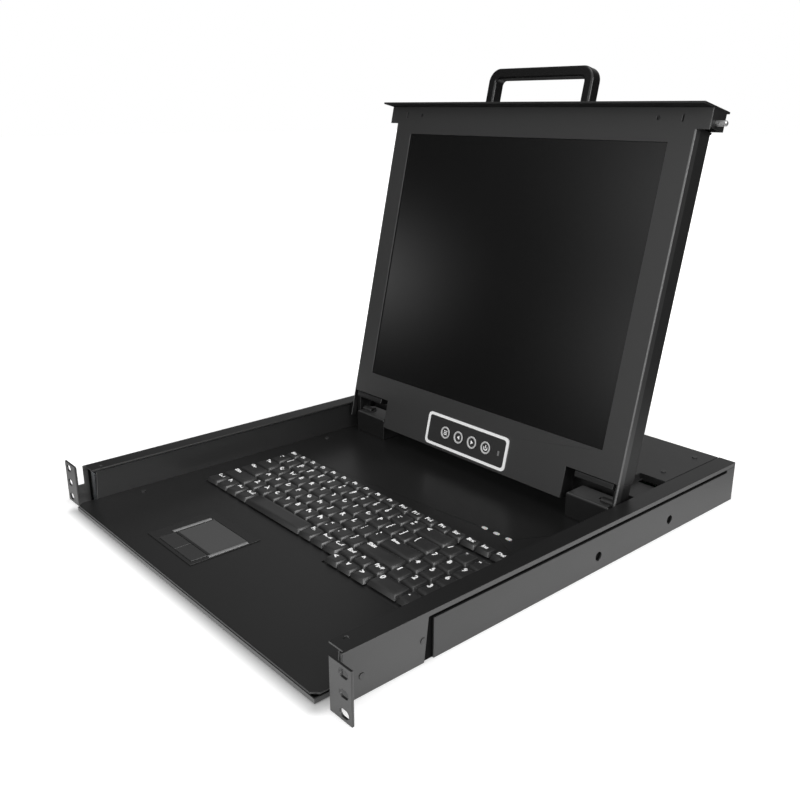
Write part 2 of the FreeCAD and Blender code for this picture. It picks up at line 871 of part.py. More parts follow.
def bezel():
    """Front sheet: screen frame, lower tongue and the wide strip under the front panel."""
    outline = [
        (-tongue_half, tongue_low),
        (tongue_half, tongue_low),
        (tongue_half, unit_low),
        (unit_half, unit_low),
        (unit_half, unit_high),
        (strip_half, unit_high),
        (strip_half, panel_inner),
        (-strip_half, panel_inner),
        (-strip_half, unit_high),
        (-unit_half, unit_high),
        (-unit_half, unit_low),
        (-tongue_half, unit_low),
    ]
    plate = prism_y(outline, (-face_reach, bezel_back))
    through = (-face_reach - 1, bezel_back + 1)
    cuts = [block(both(opening_half), through, (opening_low, opening_high))]
    middle = (unit_high + panel_inner) / 2
    for side in (-1, 1):
        cuts.append(rod_y(strip_hole_r, side * (strip_half - strip_hole_in), through, middle))
        x = side * (strip_half - strip_slot_in)
        cuts.append(
            block(
                (x - strip_slot[0] / 2, x + strip_slot[0] / 2),
                through,
                (middle - strip_slot[1] / 2, middle + strip_slot[1] / 2),
            )
        )
    for x in menu_button_x:
        cuts.append(rod_y(menu_button_r + menu_button_gap, x, through, menu_button_z))
    return plate.cut(cuts)


def back_cover():
    """Pressed cover over the back of the screen unit and its tongue."""
    body = block(both(unit_half), (bezel_back, unit_back), (unit_low, unit_high))
    rims = [e for e in body.Edges if e.CenterOfMass.y > unit_back - 0.1]
    body = body.makeFillet(unit_round, rims)
    tongue = block(both(tongue_half), (bezel_back, bezel_back + tongue_depth), (tongue_low, unit_low))
    wall = unit_wall
    body_room = block(
        both(unit_half - wall), (bezel_back, unit_back - wall), (unit_low + wall, unit_high - wall)
    )
    tongue_room = block(
        both(tongue_half - wall),
        (bezel_back, bezel_back + tongue_depth - wall),
        (tongue_low + wall, unit_low + 2 * wall),
    )
    cuts = [body_room, tongue_room]
    gap = arm_slit_gap
    slit_y = (arm_front - gap, arm_back + gap)
    slit = block((arm_x[0] - gap, arm_x[1]), slit_y, (unit_low - 1, unit_low + 2 * wall))
    cuts += [slit, mirrored(slit)]
    left = -(vent_columns - 1) * vent_pitch[0] / 2
    for row in range(vent_rows):
        for column in range(vent_columns):
            x = left + column * vent_pitch[0]
            z = unit_high - vent_from_top + row * vent_pitch[1]
            vent_x = (x - vent_size[0] / 2, x + vent_size[0] / 2)
            vent_z = (z - vent_size[1] / 2, z + vent_size[1] / 2)
            cuts.append(block(vent_x, (unit_back - wall - 1, unit_back + 1), vent_z))
    return one(body.fuse(tongue).cut(cuts))


def screen_glass():
    half = opening_half + glass_lap
    return block(both(half), (bezel_back, glass_back), (opening_low - glass_lap, opening_high + glass_lap))


def screen_module():
    """Flat panel with its stepped metal back."""
    half = opening_half + module_lap
    low = opening_low - module_lap
    high = opening_high + module_lap
    front = block(both(half), (glass_back, glass_back + module_depth / 2), (low, high))
    step = module_step
    rear = block(
        both(half - step),
        (glass_back + module_depth / 2, glass_back + module_depth),
        (low + step, high - step),
    )
    return one(front.fuse(rear))


def driver_board():
    """Circuit board on the module's back with its taller parts."""
    front = glass_back + module_depth
    left = -driver_board_left - driver_board_width / 2
    low = opening_low + driver_board_low
    size = (driver_board_width, driver_board_height)
    pieces = [block((left, left + size[0]), (front, front + circuit_sheet), (low, low + size[1]))]
    for x0, x1, z0, z1, height in driver_parts:
        x = (on_board(x0, left, left + size[0]), on_board(x1, left, left + size[0]))
        pieces.append(block(x, (front, front + height), (low + z0, low + z1)))
    return one(pieces[0].fuse(pieces[1:]))


def menu_panel():
    """Thin overlay with the holes of the round buttons, inside its light frame."""
    inset = menu_ring
    x = (menu_x[0] + inset, menu_x[1] - inset)
    z = (menu_z[0] + inset, menu_z[1] - inset)
    y = (-face_reach - menu_sheet, -face_reach)
    panel = rounded_plate(x, z, y, menu_round - inset / 2)
    through = (y[0] - 1, y[1] + 1)
    holes = [rod_y(menu_button_r + menu_button_gap, button, through, menu_button_z) for button in menu_button_x]
    lamp = rod_y(menu_lamp_r, menu_lamp_x, through, menu_button_z)
    return panel.cut(holes + [lamp])


def menu_frame():
    y = (-face_reach - menu_ring_proud, -face_reach)
    outer = rounded_plate(menu_x, menu_z, y, menu_round)
    inset = menu_ring
    x = (menu_x[0] + inset, menu_x[1] - inset)
    z = (menu_z[0] + inset, menu_z[1] - inset)
    inner = rounded_plate(x, z, (y[0] - 1, y[1] + 1), menu_round - inset / 2)
    return outer.cut(inner)


def menu_button(x):
    """Round button with a sunken face and a stem towards its board."""
    front = -face_reach - menu_button_proud
    cap = rod_y(menu_button_r, x, (front, front + menu_button_depth), menu_button_z)
    dish = rod_y(menu_button_r - menu_button_rim, x, (front - 1, front + menu_button_dish), menu_button_z)
    back = front + menu_button_depth
    stem = rod_y(menu_stem_r, x, (back, back + menu_stem), menu_button_z)
    return one(cap.fuse(stem).cut(dish))


def menu_board():
    """Board of the menu buttons on four standoffs from the bezel."""
    half_x, half_z = menu_board_half
    low = menu_button_z - half_z
    board = block(both(half_x), (menu_board_y, menu_board_y + menu_board_sheet), (low, low + 2 * half_z))
    inset = standoff_r
    posts = []
    for x in (-half_x + inset, half_x - inset):
        for z in (low + inset, low + 2 * half_z - inset):
            posts.append(rod_y(standoff_r, x, (bezel_back, menu_board_y), z))
    return one(board.fuse(posts))


def front_panel():
    """The panel that closes the rack unit's front when the screen is folded down, with its fold."""
    y = (-face_reach - panel_ahead, -face_reach + panel_behind)
    panel = block(both(strip_half), y, (panel_inner, panel_outer))
    fold_half = bracket_x[0] - panel_fold_end
    fold_z = (panel_inner - panel_fold, panel_inner + 1)
    fold = block(both(fold_half), (bezel_back, bezel_back + bezel_sheet), fold_z)
    return one(panel.fuse(fold))


def pull_handle():
    """Bridge handle with large rounded corners and broken edges."""
    y = (handle_centre - handle_depth / 2, handle_centre + handle_depth / 2)
    half = handle_width / 2
    top = panel_outer + handle_height
    outer = block(both(half), y, (panel_outer, top))
    corners = [
        e for e in outer.Edges if e.CenterOfMass.z > top - 0.1 and abs(e.CenterOfMass.x) > half - 0.1
        and abs(e.tangentAt(e.FirstParameter).y) > 0.9
    ]
    outer = outer.makeFillet(handle_outer_round, corners)
    gap_half = half - handle_bar
    gap_top = top - handle_bar
    inner = block(both(gap_half), (y[0] - 1, y[1] + 1), (panel_outer - 1, gap_top))
    corners = [
        e for e in inner.Edges if e.CenterOfMass.z > gap_top - 0.1 and abs(e.CenterOfMass.x) > gap_half - 0.1
        and abs(e.tangentAt(e.FirstParameter).y) > 0.9
    ]
    inner = inner.makeFillet(handle_inner_round, corners)
    handle = outer.cut(inner)
    sides = [e for e in handle.Edges if abs(abs(e.CenterOfMass.y - handle_centre) - handle_depth / 2) < 0.01]
    rims = [e for e in sides if e.CenterOfMass.z > panel_outer + 1]
    return handle.makeChamfer(handle_edge, rims)


def handle_screws():
    """Screw heads on the inner side of the front panel, under the handle's feet."""
    heads = []
    for side in (-1, 1):
        x = side * (handle_width - handle_bar) / 2
        heads.append(rod_z(handle_screw_r, x, handle_centre, (panel_inner - handle_screw, panel_inner)))
    return heads


# Latches


def latch_bracket():
    """Folded bracket at a corner of the screen unit that guides the latch bolt."""
    low = panel_inner - bracket_height
    wall = bracket_sheet
    outer = block(bracket_x, (bezel_back, bracket_back), (low, panel_inner))
    room = block(
        (bracket_x[0] + wall, bracket_x[1] - wall),
        (bezel_back + wall, bracket_back - wall),
        (low - 1, panel_inner - wall),
    )
    bore = rod_x(bolt_r + bolt_fit, (bracket_x[0] - 1, bracket_x[1] + 1), latch_y, latch_z)
    reach = tab_width / 2 + bolt_fit
    window = block(
        (bracket_x[0] + wall, bracket_x[0] + tab_along[1] + bolt_fit),
        (bracket_back - wall - 1, bracket_back + 1),
        (latch_z - reach, latch_z + reach),
    )
    return one(outer.cut([room, bore, window]))


def latch_bolt():
    """Spring bolt: pin, collar and the tab that a finger pulls inwards."""
    start = bracket_x[0]
    pin = rod_x(bolt_r, (start - bolt_tail, bolt_reach - bolt_nose), latch_y, latch_z)
    nose_place = V(bolt_reach - bolt_nose, latch_y, latch_z)
    nose = Part.makeCone(bolt_r, bolt_r - bolt_nose, bolt_nose, nose_place, V(1, 0, 0))
    collar = rod_x(bolt_collar_r, (start + bolt_collar[0], start + bolt_collar[1]), latch_y, latch_z)
    tab_x = (start + tab_along[0], start + tab_along[1])
    tab = block(tab_x, (latch_y, tab_back), (latch_z - tab_width / 2, latch_z + tab_width / 2))
    return one(pin.fuse([nose, collar, tab]))


# Rear cover and what it holds


def rear_cover():
    """Folded cover with a sunken pocket at each front corner, where the hinge arms pass."""
    wall = cover_sheet
    y = (ear_y + cover_start, panel_front - cover_rear_gap)
    outer = block(both(cover_half), y, (floor_top, rail_height))
    front = y[0] - 1
    pocket_rear = ear_y + pocket_end
    pocket = block((pocket_inner, cover_half + 1), (front, pocket_rear), (pocket_floor, rail_height + 1))
    room = block(both(cover_half - wall), (y[0] + wall, y[1] + 1), (floor_top - 1, rail_height - wall))
    kept_z = (pocket_floor - wall, rail_height)
    kept = block((pocket_inner - wall, cover_half + 1), (front, pocket_rear + wall), kept_z)
    room = room.cut([kept, mirrored(kept)])
    slot = block(
        (pocket_inner + pocket_slot_side, cover_half - wall - pocket_slot_side),
        (pocket_rear - pocket_slot, pocket_rear),
        (pocket_floor - wall - 1, pocket_floor + 1),
    )
    deck_room = block(both(cover_half + 1), (front, ear_y + deck_end + deck_side_gap), (floor_top - 1, deck_top))
    cover = outer.cut([pocket, mirrored(pocket), room, slot, mirrored(slot), deck_room])
    hood = block(both(cover_half), (y[1] - wall, rear_y - cover_rear_gap), (rail_height - wall, rail_height))
    through = (rail_height - wall - 1, rail_height + 1)
    holes = [rod_z(screw_hole_r, x, y, through) for x, y in cover_screw_places()]
    return one(cover.fuse(hood).cut(holes))


def cover_screw_places():
    """Two rows on the cover: three screws at the rear and two further forward."""
    x = cover_half - screw_side
    y = tray_rear - screw_rear
    return [(x, y - screw_pitch), (-x, y - screw_pitch), (x, y), (-x, y), (0, y)]


def rear_panel():
    """Upright panel at the drawer's rear with the openings of the sockets."""
    panel = block(both(deck_half), (panel_front, panel_back), (floor_top, rear_panel_top))
    through = (panel_front - 1, panel_back + 1)
    cuts = [
        socket_block(inlet_x, inlet_size, through),
        socket_block(switch_x, switch_size, through),
        socket_block(port_x, port_size, through),
    ]
    return panel.cut(cuts)


def socket_block(x, size, y):
    return block((x - size[0] / 2, x + size[0] / 2), y, (inlet_z - size[1] / 2, inlet_z + size[1] / 2))


def power_inlet():
    """Appliance inlet with its three blades and the frame of the rocker switch on one flange."""
    back = panel_back
    low = switch_x - switch_size[0] / 2 - inlet_border
    high = inlet_x + inlet_size[0] / 2 + inlet_border
    reach = inlet_size[1] / 2 + inlet_border
    flange = block((low, high), (back, back + inlet_flange), (inlet_z - reach, inlet_z + reach))
    body_y = (back - inlet_depth, back)
    body = socket_block(inlet_x, smaller(inlet_size, socket_fit), body_y)
    frame = socket_block(switch_x, smaller(switch_size, socket_fit), (back - switch_depth, back))
    cavity = socket_block(inlet_x, smaller(inlet_size, inlet_rim), (body_y[0] + inlet_floor, back + 2))
    well = socket_block(switch_x, rocker_room(), (back - switch_depth + inlet_floor, back + 2))
    inlet = flange.fuse([body, frame]).cut([cavity, well])
    blades = []
    for x, z in blade_places:
        blade_x = (inlet_x + x - blade_half, inlet_x + x + blade_half)
        blade_z = (inlet_z + z - blade_reach, inlet_z + z + blade_reach)
        blades.append(block(blade_x, (body_y[0] + 1, back - blade_recess), blade_z))
    return one(inlet.fuse(blades))


def smaller(size, rim):
    """Width and height less a rim on every side."""
    return (size[0] - 2 * rim, size[1] - 2 * rim)


def rocker_room():
    return smaller(switch_size, switch_rim)


def rocker():
    """Rocker with two sloping faces and the round ends of the upright pin that it tilts about."""
    back = panel_back
    width, height = rocker_room()
    half = width / 2 - rocker_tilt_room
    outline = [
        (switch_x - half, back + rocker_proud),
        (switch_x, back - rocker_crease),
        (switch_x + half, back + rocker_proud),
        (switch_x + half - rocker_taper, back - rocker_depth[0]),
        (switch_x, back - rocker_depth[1]),
        (switch_x - half + rocker_taper, back - rocker_depth[0]),
    ]
    reach = height / 2 - rocker_side_gap
    body = prism_z(outline, (inlet_z - reach, inlet_z + reach))
    body.rotate(V(switch_x, back - rocker_pivot, 0), V(0, 0, 1), -rocker_tilt)
    pin = rod_z(rocker_pin_r, switch_x, back - rocker_pivot, (inlet_z - height / 2, inlet_z + height / 2))
    return one(body.fuse(pin))


def console_port():
    """Wide connector for the host cable, with its shell and two jack screws."""
    back = panel_back
    flange = socket_block(port_x, port_flange, (back, back + port_flange_sheet))
    shell = socket_block(port_x, port_shell, (back - port_depth, back + port_shell_proud))
    room_y = (back - port_room_depth, back + port_shell_proud + 1)
    port = shell.fuse(flange).cut(socket_block(port_x, smaller(port_shell, port_wall), room_y))
    jacks = []
    for side in (-1, 1):
        x = port_x + side * (port_size[0] / 2 + jack_gap)
        jacks.append(rod_y(jack_r, x, (back, back + jack_proud), inlet_z))
    return one(port.fuse(jacks))


def circuit_board(x, parts):
    """A board on four standoffs with its larger parts."""
    y = circuit_y
    board = block(x, y, (circuit_z, circuit_z + circuit_sheet))
    pieces = []
    for px in (x[0] + circuit_gap, x[1] - circuit_gap):
        for py in (y[0] + circuit_gap, y[1] - circuit_gap):
            pieces.append(rod_z(standoff_r, px, py, (floor_top, circuit_z)))
    top = circuit_z + circuit_sheet
    for x0, x1, y0, y1, height in parts:
        pieces.append(block((on_board(x0, *x), on_board(x1, *x)), (y[0] + y0, y[0] + y1), (top, top + height)))
    return one(board.fuse(pieces))


def on_board(x, left, right):
    """A part's place on a board from its left edge, or from its right edge where x is below zero."""
    return left + x if x >= 0 else right + x


def power_board():
    side = cover_half - board_side_gap
    return circuit_board((side - power_board_width, side), power_parts)


def video_board():
    """The wider board, from the left side up to the power board."""
    side = cover_half - board_side_gap
    return circuit_board((-side, side - power_board_width - board_space), video_parts)


def cover_screws():
    return [screw(x, y, rail_height) for x, y in cover_screw_places()]


def deck_screws():
    x = tray_half - screw_side
    return [screw(side * x, ear_y + y, deck_top) for side in (-1, 1) for y in deck_screw_rows]


def screw(x, y, z):
    """A low round head with a slot, standing on the surface at z."""
    top = z + screw_head
    head = rod_z(screw_r, x, y, (z, top))
    slit_y = (y - screw_slot / 2, y + screw_slot / 2)
    slit = block((x - screw_r, x + screw_r), slit_y, (top - screw_slot_depth, top + 1))
    return head.cut(slit)


def build():
    os.makedirs("parts", exist_ok=True)
    save_pair("ear_bracket", ear_bracket())
    save_pair("rail_channel", rail_channel())
    plate = side_plate()
    save("side_plates", Part.makeCompound([plate, mirrored(plate)]))
    rivets = rail_rivets()
    save("rail_rivets", Part.makeCompound(rivets + [mirrored(r) for r in rivets]))
    outer = slide_outer()
    inner = slide_inner()
    save("slide_outer_members", Part.makeCompound([outer, mirrored(outer)]))
    save_pair("slide_middle", slide_middle())
    save("ball_cages_outer", outer_cages())
    save("ball_cages_inner", inner_cages())
    save("slide_inner_members", Part.makeCompound([inner, mirrored(inner)]))

    save("tray_pan", tray_pan())
    save("keyboard_deck", keyboard_deck())
    save("indicator_lenses", Part.makeCompound(indicator_lenses()))
    save("key_board", key_board())
    groups = {}
    for group, x, y, width, depth in key_places():
        groups.setdefault(group, []).append(key(x, y, width, depth))
    for group, caps in groups.items():
        name = "space_bar" if group == "space" else "keys_" + group
        save(name, Part.makeCompound(caps))
    save("touchpad_bezel", touchpad_bezel())
    save("touchpad", touchpad())
    button = touch_button()
    save("touch_button_right", button)
    middle = V(touch_button_split, 0, 0)
    save("touch_button_left", button.mirror(middle, V(1, 0, 0)))

    save_pair("hinge_block", hinge_block())
    save("rear_cover", rear_cover())
    save("rear_panel", rear_panel())
    save("power_inlet", power_inlet())
    save("power_rocker", rocker())
    save("console_port", console_port())
    save("power_board", power_board())
    save("video_board", video_board())
    save("drawer_screws", Part.makeCompound(cover_screws() + deck_screws()))

    save_pair("hinge_arm", to_rest(hinge_arm()))
    pin = to_rest(hinge_pin())
    save("hinge_pins", Part.makeCompound([pin, mirrored(pin)]))
    save("screen_bezel", to_rest(bezel()))
    save("screen_back_cover", to_rest(back_cover()))
    save("screen_glass", to_rest(screen_glass()))
    save("screen_module", to_rest(screen_module()))
    save("driver_board", to_rest(driver_board()))
    save("menu_panel", to_rest(menu_panel()))
    save("menu_frame", to_rest(menu_frame()))
    save("menu_board", to_rest(menu_board()))
    for number, x in enumerate(menu_button_x, 1):
        save("menu_button_" + str(number), to_rest(menu_button(x)))
    save("front_panel", to_rest(front_panel()))
    save("pull_handle", to_rest(pull_handle()))
    save("handle_screws", to_rest(Part.makeCompound(handle_screws())))
    save_pair("latch_bracket", to_rest(latch_bracket()))
    save_pair("latch_bolt", to_rest(latch_bolt()))


build()
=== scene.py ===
import json
import math

import bmesh
import bpy
import numpy as np
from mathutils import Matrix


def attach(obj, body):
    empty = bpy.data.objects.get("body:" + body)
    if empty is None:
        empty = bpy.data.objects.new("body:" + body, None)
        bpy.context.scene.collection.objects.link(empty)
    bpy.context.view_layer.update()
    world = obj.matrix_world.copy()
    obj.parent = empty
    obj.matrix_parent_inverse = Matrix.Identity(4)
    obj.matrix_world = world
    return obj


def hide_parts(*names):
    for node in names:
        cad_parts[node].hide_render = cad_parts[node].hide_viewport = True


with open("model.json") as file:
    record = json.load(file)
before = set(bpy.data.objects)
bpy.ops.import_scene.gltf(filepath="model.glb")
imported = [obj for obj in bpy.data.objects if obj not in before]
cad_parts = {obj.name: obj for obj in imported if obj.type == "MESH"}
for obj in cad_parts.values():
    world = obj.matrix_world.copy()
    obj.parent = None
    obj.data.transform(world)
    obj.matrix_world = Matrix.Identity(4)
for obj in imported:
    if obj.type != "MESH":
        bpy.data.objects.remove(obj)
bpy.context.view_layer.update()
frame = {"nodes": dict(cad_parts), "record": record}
nodes = frame["nodes"]
behaviour = frame["record"]["behaviour"]
bodyOf = {node: body for body, members in behaviour["bodies"].items() for node in members}
slotOf = {part["node"]: part["material_slot"] for part in frame["record"]["subparts"]}
mm = 0.001
flatness = 0.01 * mm  # points this near to an extreme count as lying on it

print("frame loaded:", len(nodes), "nodes")


# Shader helpers

def newGroup(name, inputs, outputs):
    # an empty node group: each input is (label, kind, default), each output (label, kind)
    group = bpy.data.node_groups.new(name, "ShaderNodeTree")
    for label, kind, value in inputs:
        socket = group.interface.new_socket(label, in_out="INPUT", socket_type=kind)
        socket.default_value = value
    for label, kind in outputs:
        group.interface.new_socket(label, in_out="OUTPUT", socket_type=kind)
    start = group.nodes.new("NodeGroupInput")
    end = group.nodes.new("NodeGroupOutput")
    return group, start, end


def addNode(tree, kind, inputs=None, **settings):
    # a node with its settings; each of its inputs is linked to a socket or given a value
    node = tree.nodes.new(kind)
    for key, value in settings.items():
        setattr(node, key, value)
    for key, value in (inputs or {}).items():
        if isinstance(value, bpy.types.NodeSocket):
            tree.links.new(value, node.inputs[key])
        else:
            node.inputs[key].default_value = value
    return node


def mathNode(tree, operation, first, second=0.0, third=0.0, clamp=False):
    inputs = {0: first, 1: second, 2: third}
    return addNode(tree, "ShaderNodeMath", inputs, operation=operation, use_clamp=clamp).outputs[0]


def vectorNode(tree, operation, first, second=(0.0, 0.0, 0.0), output="Vector"):
    inputs = {0: first, 1: second}
    return addNode(tree, "ShaderNodeVectorMath", inputs, operation=operation).outputs[output]


def scaledColour(tree, colour, factor):
    inputs = {0: colour, "Scale": factor}
    return addNode(tree, "ShaderNodeVectorMath", inputs, operation="SCALE").outputs["Vector"]


def mixNode(tree, factor, first, second):
    # the first value where the factor is 0, the second where it is 1
    return addNode(tree, "ShaderNodeMix", {0: factor, 2: first, 3: second}).outputs[0]


def smoothRange(tree, value, fromMin, fromMax, toMin, toMax):
    inputs = {"Value": value, "From Min": fromMin, "From Max": fromMax, "To Min": toMin, "To Max": toMax}
    return addNode(tree, "ShaderNodeMapRange", inputs, interpolation_type="SMOOTHSTEP").outputs["Result"]


def grey(level):
    return (level, level, level, 1.0)


# Effects shared by several materials

effectOutputs = [
    ("Colour", "NodeSocketColor"), ("Roughness", "NodeSocketFloat"), ("Height", "NodeSocketFloat"),
]

grainForm = dict(fineDetail=2.0, smudgeScale=14.0, smudgeDetail=4.0, smudgeRoughness=0.6, smudge=0.08)


def makeGrain():
    # powder coat or moulded texture: colour * (1 + spread * (fine - 1/2)),
    # roughness + smudge * (broad - 1/2), height fine
    group, start, end = newGroup(
        "coatGrain",
        [
            ("Colour", "NodeSocketColor", grey(0.05)), ("Size", "NodeSocketFloat", 900.0),
            ("Spread", "NodeSocketFloat", 0.12), ("Roughness", "NodeSocketFloat", 0.5),
            ("Smudge", "NodeSocketFloat", grainForm["smudge"]),
        ],
        effectOutputs,
    )
    place = addNode(group, "ShaderNodeTexCoord").outputs["Object"]
    fineInputs = {"Vector": place, "Scale": start.outputs["Size"], "Detail": grainForm["fineDetail"]}
    fine = addNode(group, "ShaderNodeTexNoise", fineInputs).outputs["Fac"]
    broadInputs = {
        "Vector": place, "Scale": grainForm["smudgeScale"], "Detail": grainForm["smudgeDetail"],
        "Roughness": grainForm["smudgeRoughness"],
    }
    broad = addNode(group, "ShaderNodeTexNoise", broadInputs).outputs["Fac"]
    centred = mathNode(group, "SUBTRACT", fine, 0.5)
    swing = mathNode(group, "MULTIPLY_ADD", centred, start.outputs["Spread"], 1.0)
    stain = mathNode(group, "MULTIPLY", mathNode(group, "SUBTRACT", broad, 0.5), start.outputs["Smudge"])
    rough = mathNode(group, "ADD", start.outputs["Roughness"], stain, clamp=True)
    group.links.new(scaledColour(group, start.outputs["Colour"], swing), end.inputs["Colour"])
    group.links.new(rough, end.inputs["Roughness"])
    group.links.new(fine, end.inputs["Height"])
    return group


drawnForm = dict(stretch=(1.0, 0.02, 1.0), detail=3.0, shadeSwing=0.3, shadeLow=0.85, roughSwing=0.2)


def makeDrawnMetal():
    # drawn or plated metal: noise stretched along Y, so that fine lines run along the travel
    group, start, end = newGroup(
        "drawnMetal",
        [
            ("Colour", "NodeSocketColor", grey(0.5)), ("Lines", "NodeSocketFloat", 900.0),
            ("Roughness", "NodeSocketFloat", 0.35),
        ],
        effectOutputs,
    )
    place = addNode(group, "ShaderNodeTexCoord").outputs["Object"]
    stretchInputs = {"Vector": place, "Scale": drawnForm["stretch"]}
    stretched = addNode(group, "ShaderNodeMapping", stretchInputs).outputs["Vector"]
    lineInputs = {"Vector": stretched, "Scale": start.outputs["Lines"], "Detail": drawnForm["detail"]}
    lines = addNode(group, "ShaderNodeTexNoise", lineInputs).outputs["Fac"]
    shade = mathNode(group, "MULTIPLY_ADD", lines, drawnForm["shadeSwing"], drawnForm["shadeLow"])
    rough = mathNode(group, "MULTIPLY_ADD", lines, drawnForm["roughSwing"], start.outputs["Roughness"])
    group.links.new(scaledColour(group, start.outputs["Colour"], shade), end.inputs["Colour"])
    group.links.new(rough, end.inputs["Roughness"])
    group.links.new(lines, end.inputs["Height"])
    return group


coatGrain = makeGrain()
drawnMetal = makeDrawnMetal()


# Materials

def newMaterial(name):
    # a material with its node tree and its shader
    material = bpy.data.materials.new(name)
    material.use_nodes = True
    tree = material.node_tree
    return material, tree, tree.nodes["Principled BSDF"]


def effectMaterial(name, group, values, bumpStrength, bumpDepth):
    # a material whose colour, roughness and bump all come from one of the shared effects
    material, tree, shader = newMaterial(name)
    effect = addNode(tree, "ShaderNodeGroup", values, node_tree=group)
    bumpInputs = {"Height": effect.outputs["Height"], "Strength": bumpStrength, "Distance": bumpDepth * mm}
    bump = addNode(tree, "ShaderNodeBump", bumpInputs)
    tree.links.new(effect.outputs["Colour"], shader.inputs["Base Color"])
    tree.links.new(effect.outputs["Roughness"], shader.inputs["Roughness"])
    tree.links.new(bump.outputs["Normal"], shader.inputs["Normal"])
    return material, shader


grainDepth, metalDepth = 0.1, 0.05  # depth of the bumps in mm


def grainMaterial(name, colour, roughness, specular, size, spread, bump):
    # a coated or moulded finish
    values = {"Colour": colour, "Size": size, "Spread": spread, "Roughness": roughness}
    material, shader = effectMaterial(name, coatGrain, values, bump, grainDepth)
    shader.inputs["Specular IOR Level"].default_value = specular
    return material


def metalMaterial(name, colour, roughness, bump):
    # bare metal, drawn or plated
    values = {"Colour": colour, "Roughness": roughness}
    material, shader = effectMaterial(name, drawnMetal, values, bump, metalDepth)
    shader.inputs["Metallic"].default_value = 1.0
    return material


# size, spread and bump are those of the grain
powderCoat = dict(size=1100.0, spread=0.4, bump=0.3)
finishes = {
    "caseBlack": dict(colour=grey(0.008), roughness=0.33, specular=0.70, size=1100.0, spread=0.5, bump=0.3),
    "railBlack": dict(powderCoat, colour=grey(0.014), roughness=0.42, specular=0.66),
    "bezelBlack": dict(powderCoat, colour=grey(0.018), roughness=0.48, specular=0.9),
    # the back cover's speckled black, also laid on faces of other parts as painted shade
    "wallAndShadeBlack": dict(colour=grey(0.007), roughness=0.45, specular=0.35, size=800.0, spread=1.2, bump=0.5),
    "panelBlack": dict(powderCoat, colour=grey(0.011), roughness=0.48, specular=0.6),
    # near black in the rail channels: painted shade in the slit
    "channelPaintedShade": dict(colour=grey(0.002), roughness=0.6, specular=0.05, size=1100.0, spread=0.4, bump=0.2),
    # darker black on the ear brackets' tops: painted shade
    "flangePaintedShade": dict(powderCoat, colour=grey(0.010), roughness=0.36, specular=0.40),
    # lighter copy of the rail black on the ear brackets: painted light
    "earPaintedLightBlack": dict(powderCoat, colour=grey(0.023), roughness=0.42, specular=0.80),
    # lighter grey on the hinge blocks' top and sloped faces: painted light
    "blockPaintedLight": dict(powderCoat, colour=grey(0.030), roughness=0.42, specular=0.9),
    "trayBlack": dict(powderCoat, colour=grey(0.013), roughness=0.42, specular=0.65),
    # lighter grey on the tray's front faces: a painted highlight
    "lipPaintedHighlight": dict(colour=grey(0.034), roughness=0.42, specular=0.9, size=1100.0, spread=0.3, bump=0.2),
    # light grey on the screen unit's rolled edges: a painted highlight
    "edgePaintedHighlight": dict(colour=grey(0.09), roughness=0.32, specular=0.8, size=1600.0, spread=0.2, bump=0.1),
    "keyBlack": dict(colour=grey(0.020), roughness=0.34, specular=0.9, size=2200.0, spread=0.3, bump=0.15),
    "padGrey": dict(colour=grey(0.065), roughness=0.5, specular=0.5, size=2400.0, spread=0.2, bump=0.12),
    "trimBlack": dict(colour=grey(0.02), roughness=0.42, specular=0.6, size=1800.0, spread=0.2, bump=0.15),
    "frameLight": dict(colour=grey(0.88), roughness=0.4, specular=0.4, size=1800.0, spread=0.06, bump=0.1),
    "handleBlack": dict(colour=grey(0.004), roughness=0.26, specular=0.5, size=1600.0, spread=0.3, bump=0.2),
    "socketBlack": dict(colour=grey(0.012), roughness=0.42, specular=0.4, size=2000.0, spread=0.2, bump=0.15),
    "screwBlack": dict(colour=grey(0.03), roughness=0.35, specular=0.6, size=1600.0, spread=0.3, bump=0.15),
    "boardGreen": dict(
        colour=(0.012, 0.085, 0.03, 1.0), roughness=0.4, specular=0.5, size=700.0, spread=0.5, bump=0.3,
    ),
    "ringGrey": dict(colour=grey(0.50), roughness=0.35, specular=0.6, size=2200.0, spread=0.1, bump=0.1),
    # light grey on the touchpad's rims is a painted highlight; it is also the lamp window's grey
    "rimHighlightAndWindowGrey": dict(colour=grey(0.17), roughness=0.34, specular=0.8, size=2400.0, spread=0.1, bump=0.08),
    "legendWhite": dict(colour=grey(0.92), roughness=0.6, specular=0.3, size=2600.0, spread=0.05, bump=0.1),
}
metals = {
    "slideSteel": dict(colour=(0.42, 0.43, 0.44, 1.0), roughness=0.3, bump=0.1),
    "brightSteel": dict(colour=(0.84, 0.84, 0.84, 1.0), roughness=0.2, bump=0.1),
    "moduleMetal": dict(colour=(0.5, 0.5, 0.51, 1.0), roughness=0.35, bump=0.1),
}

screenForm = dict(level=0.003, specular=0.8, hazeScale=9.0, hazeDetail=2.0, roughSwing=0.05, roughLow=0.12)


def screenMaterial():
    # dark panel under a smooth cover, its roughness roughSwing * haze + roughLow
    material, tree, shader = newMaterial("screenGloss")
    shader.inputs["Base Color"].default_value = grey(screenForm["level"])
    shader.inputs["Specular IOR Level"].default_value = screenForm["specular"]
    place = addNode(tree, "ShaderNodeTexCoord").outputs["Object"]
    hazeInputs = {"Vector": place, "Scale": screenForm["hazeScale"], "Detail": screenForm["hazeDetail"]}
    haze = addNode(tree, "ShaderNodeTexNoise", hazeInputs).outputs["Fac"]
    rough = mathNode(tree, "MULTIPLY_ADD", haze, screenForm["roughSwing"], screenForm["roughLow"])
    tree.links.new(rough, shader.inputs["Roughness"])
    return material


lensForm = dict(level=0.55, roughness=0.2, scatter=0.2, depth=1.0)


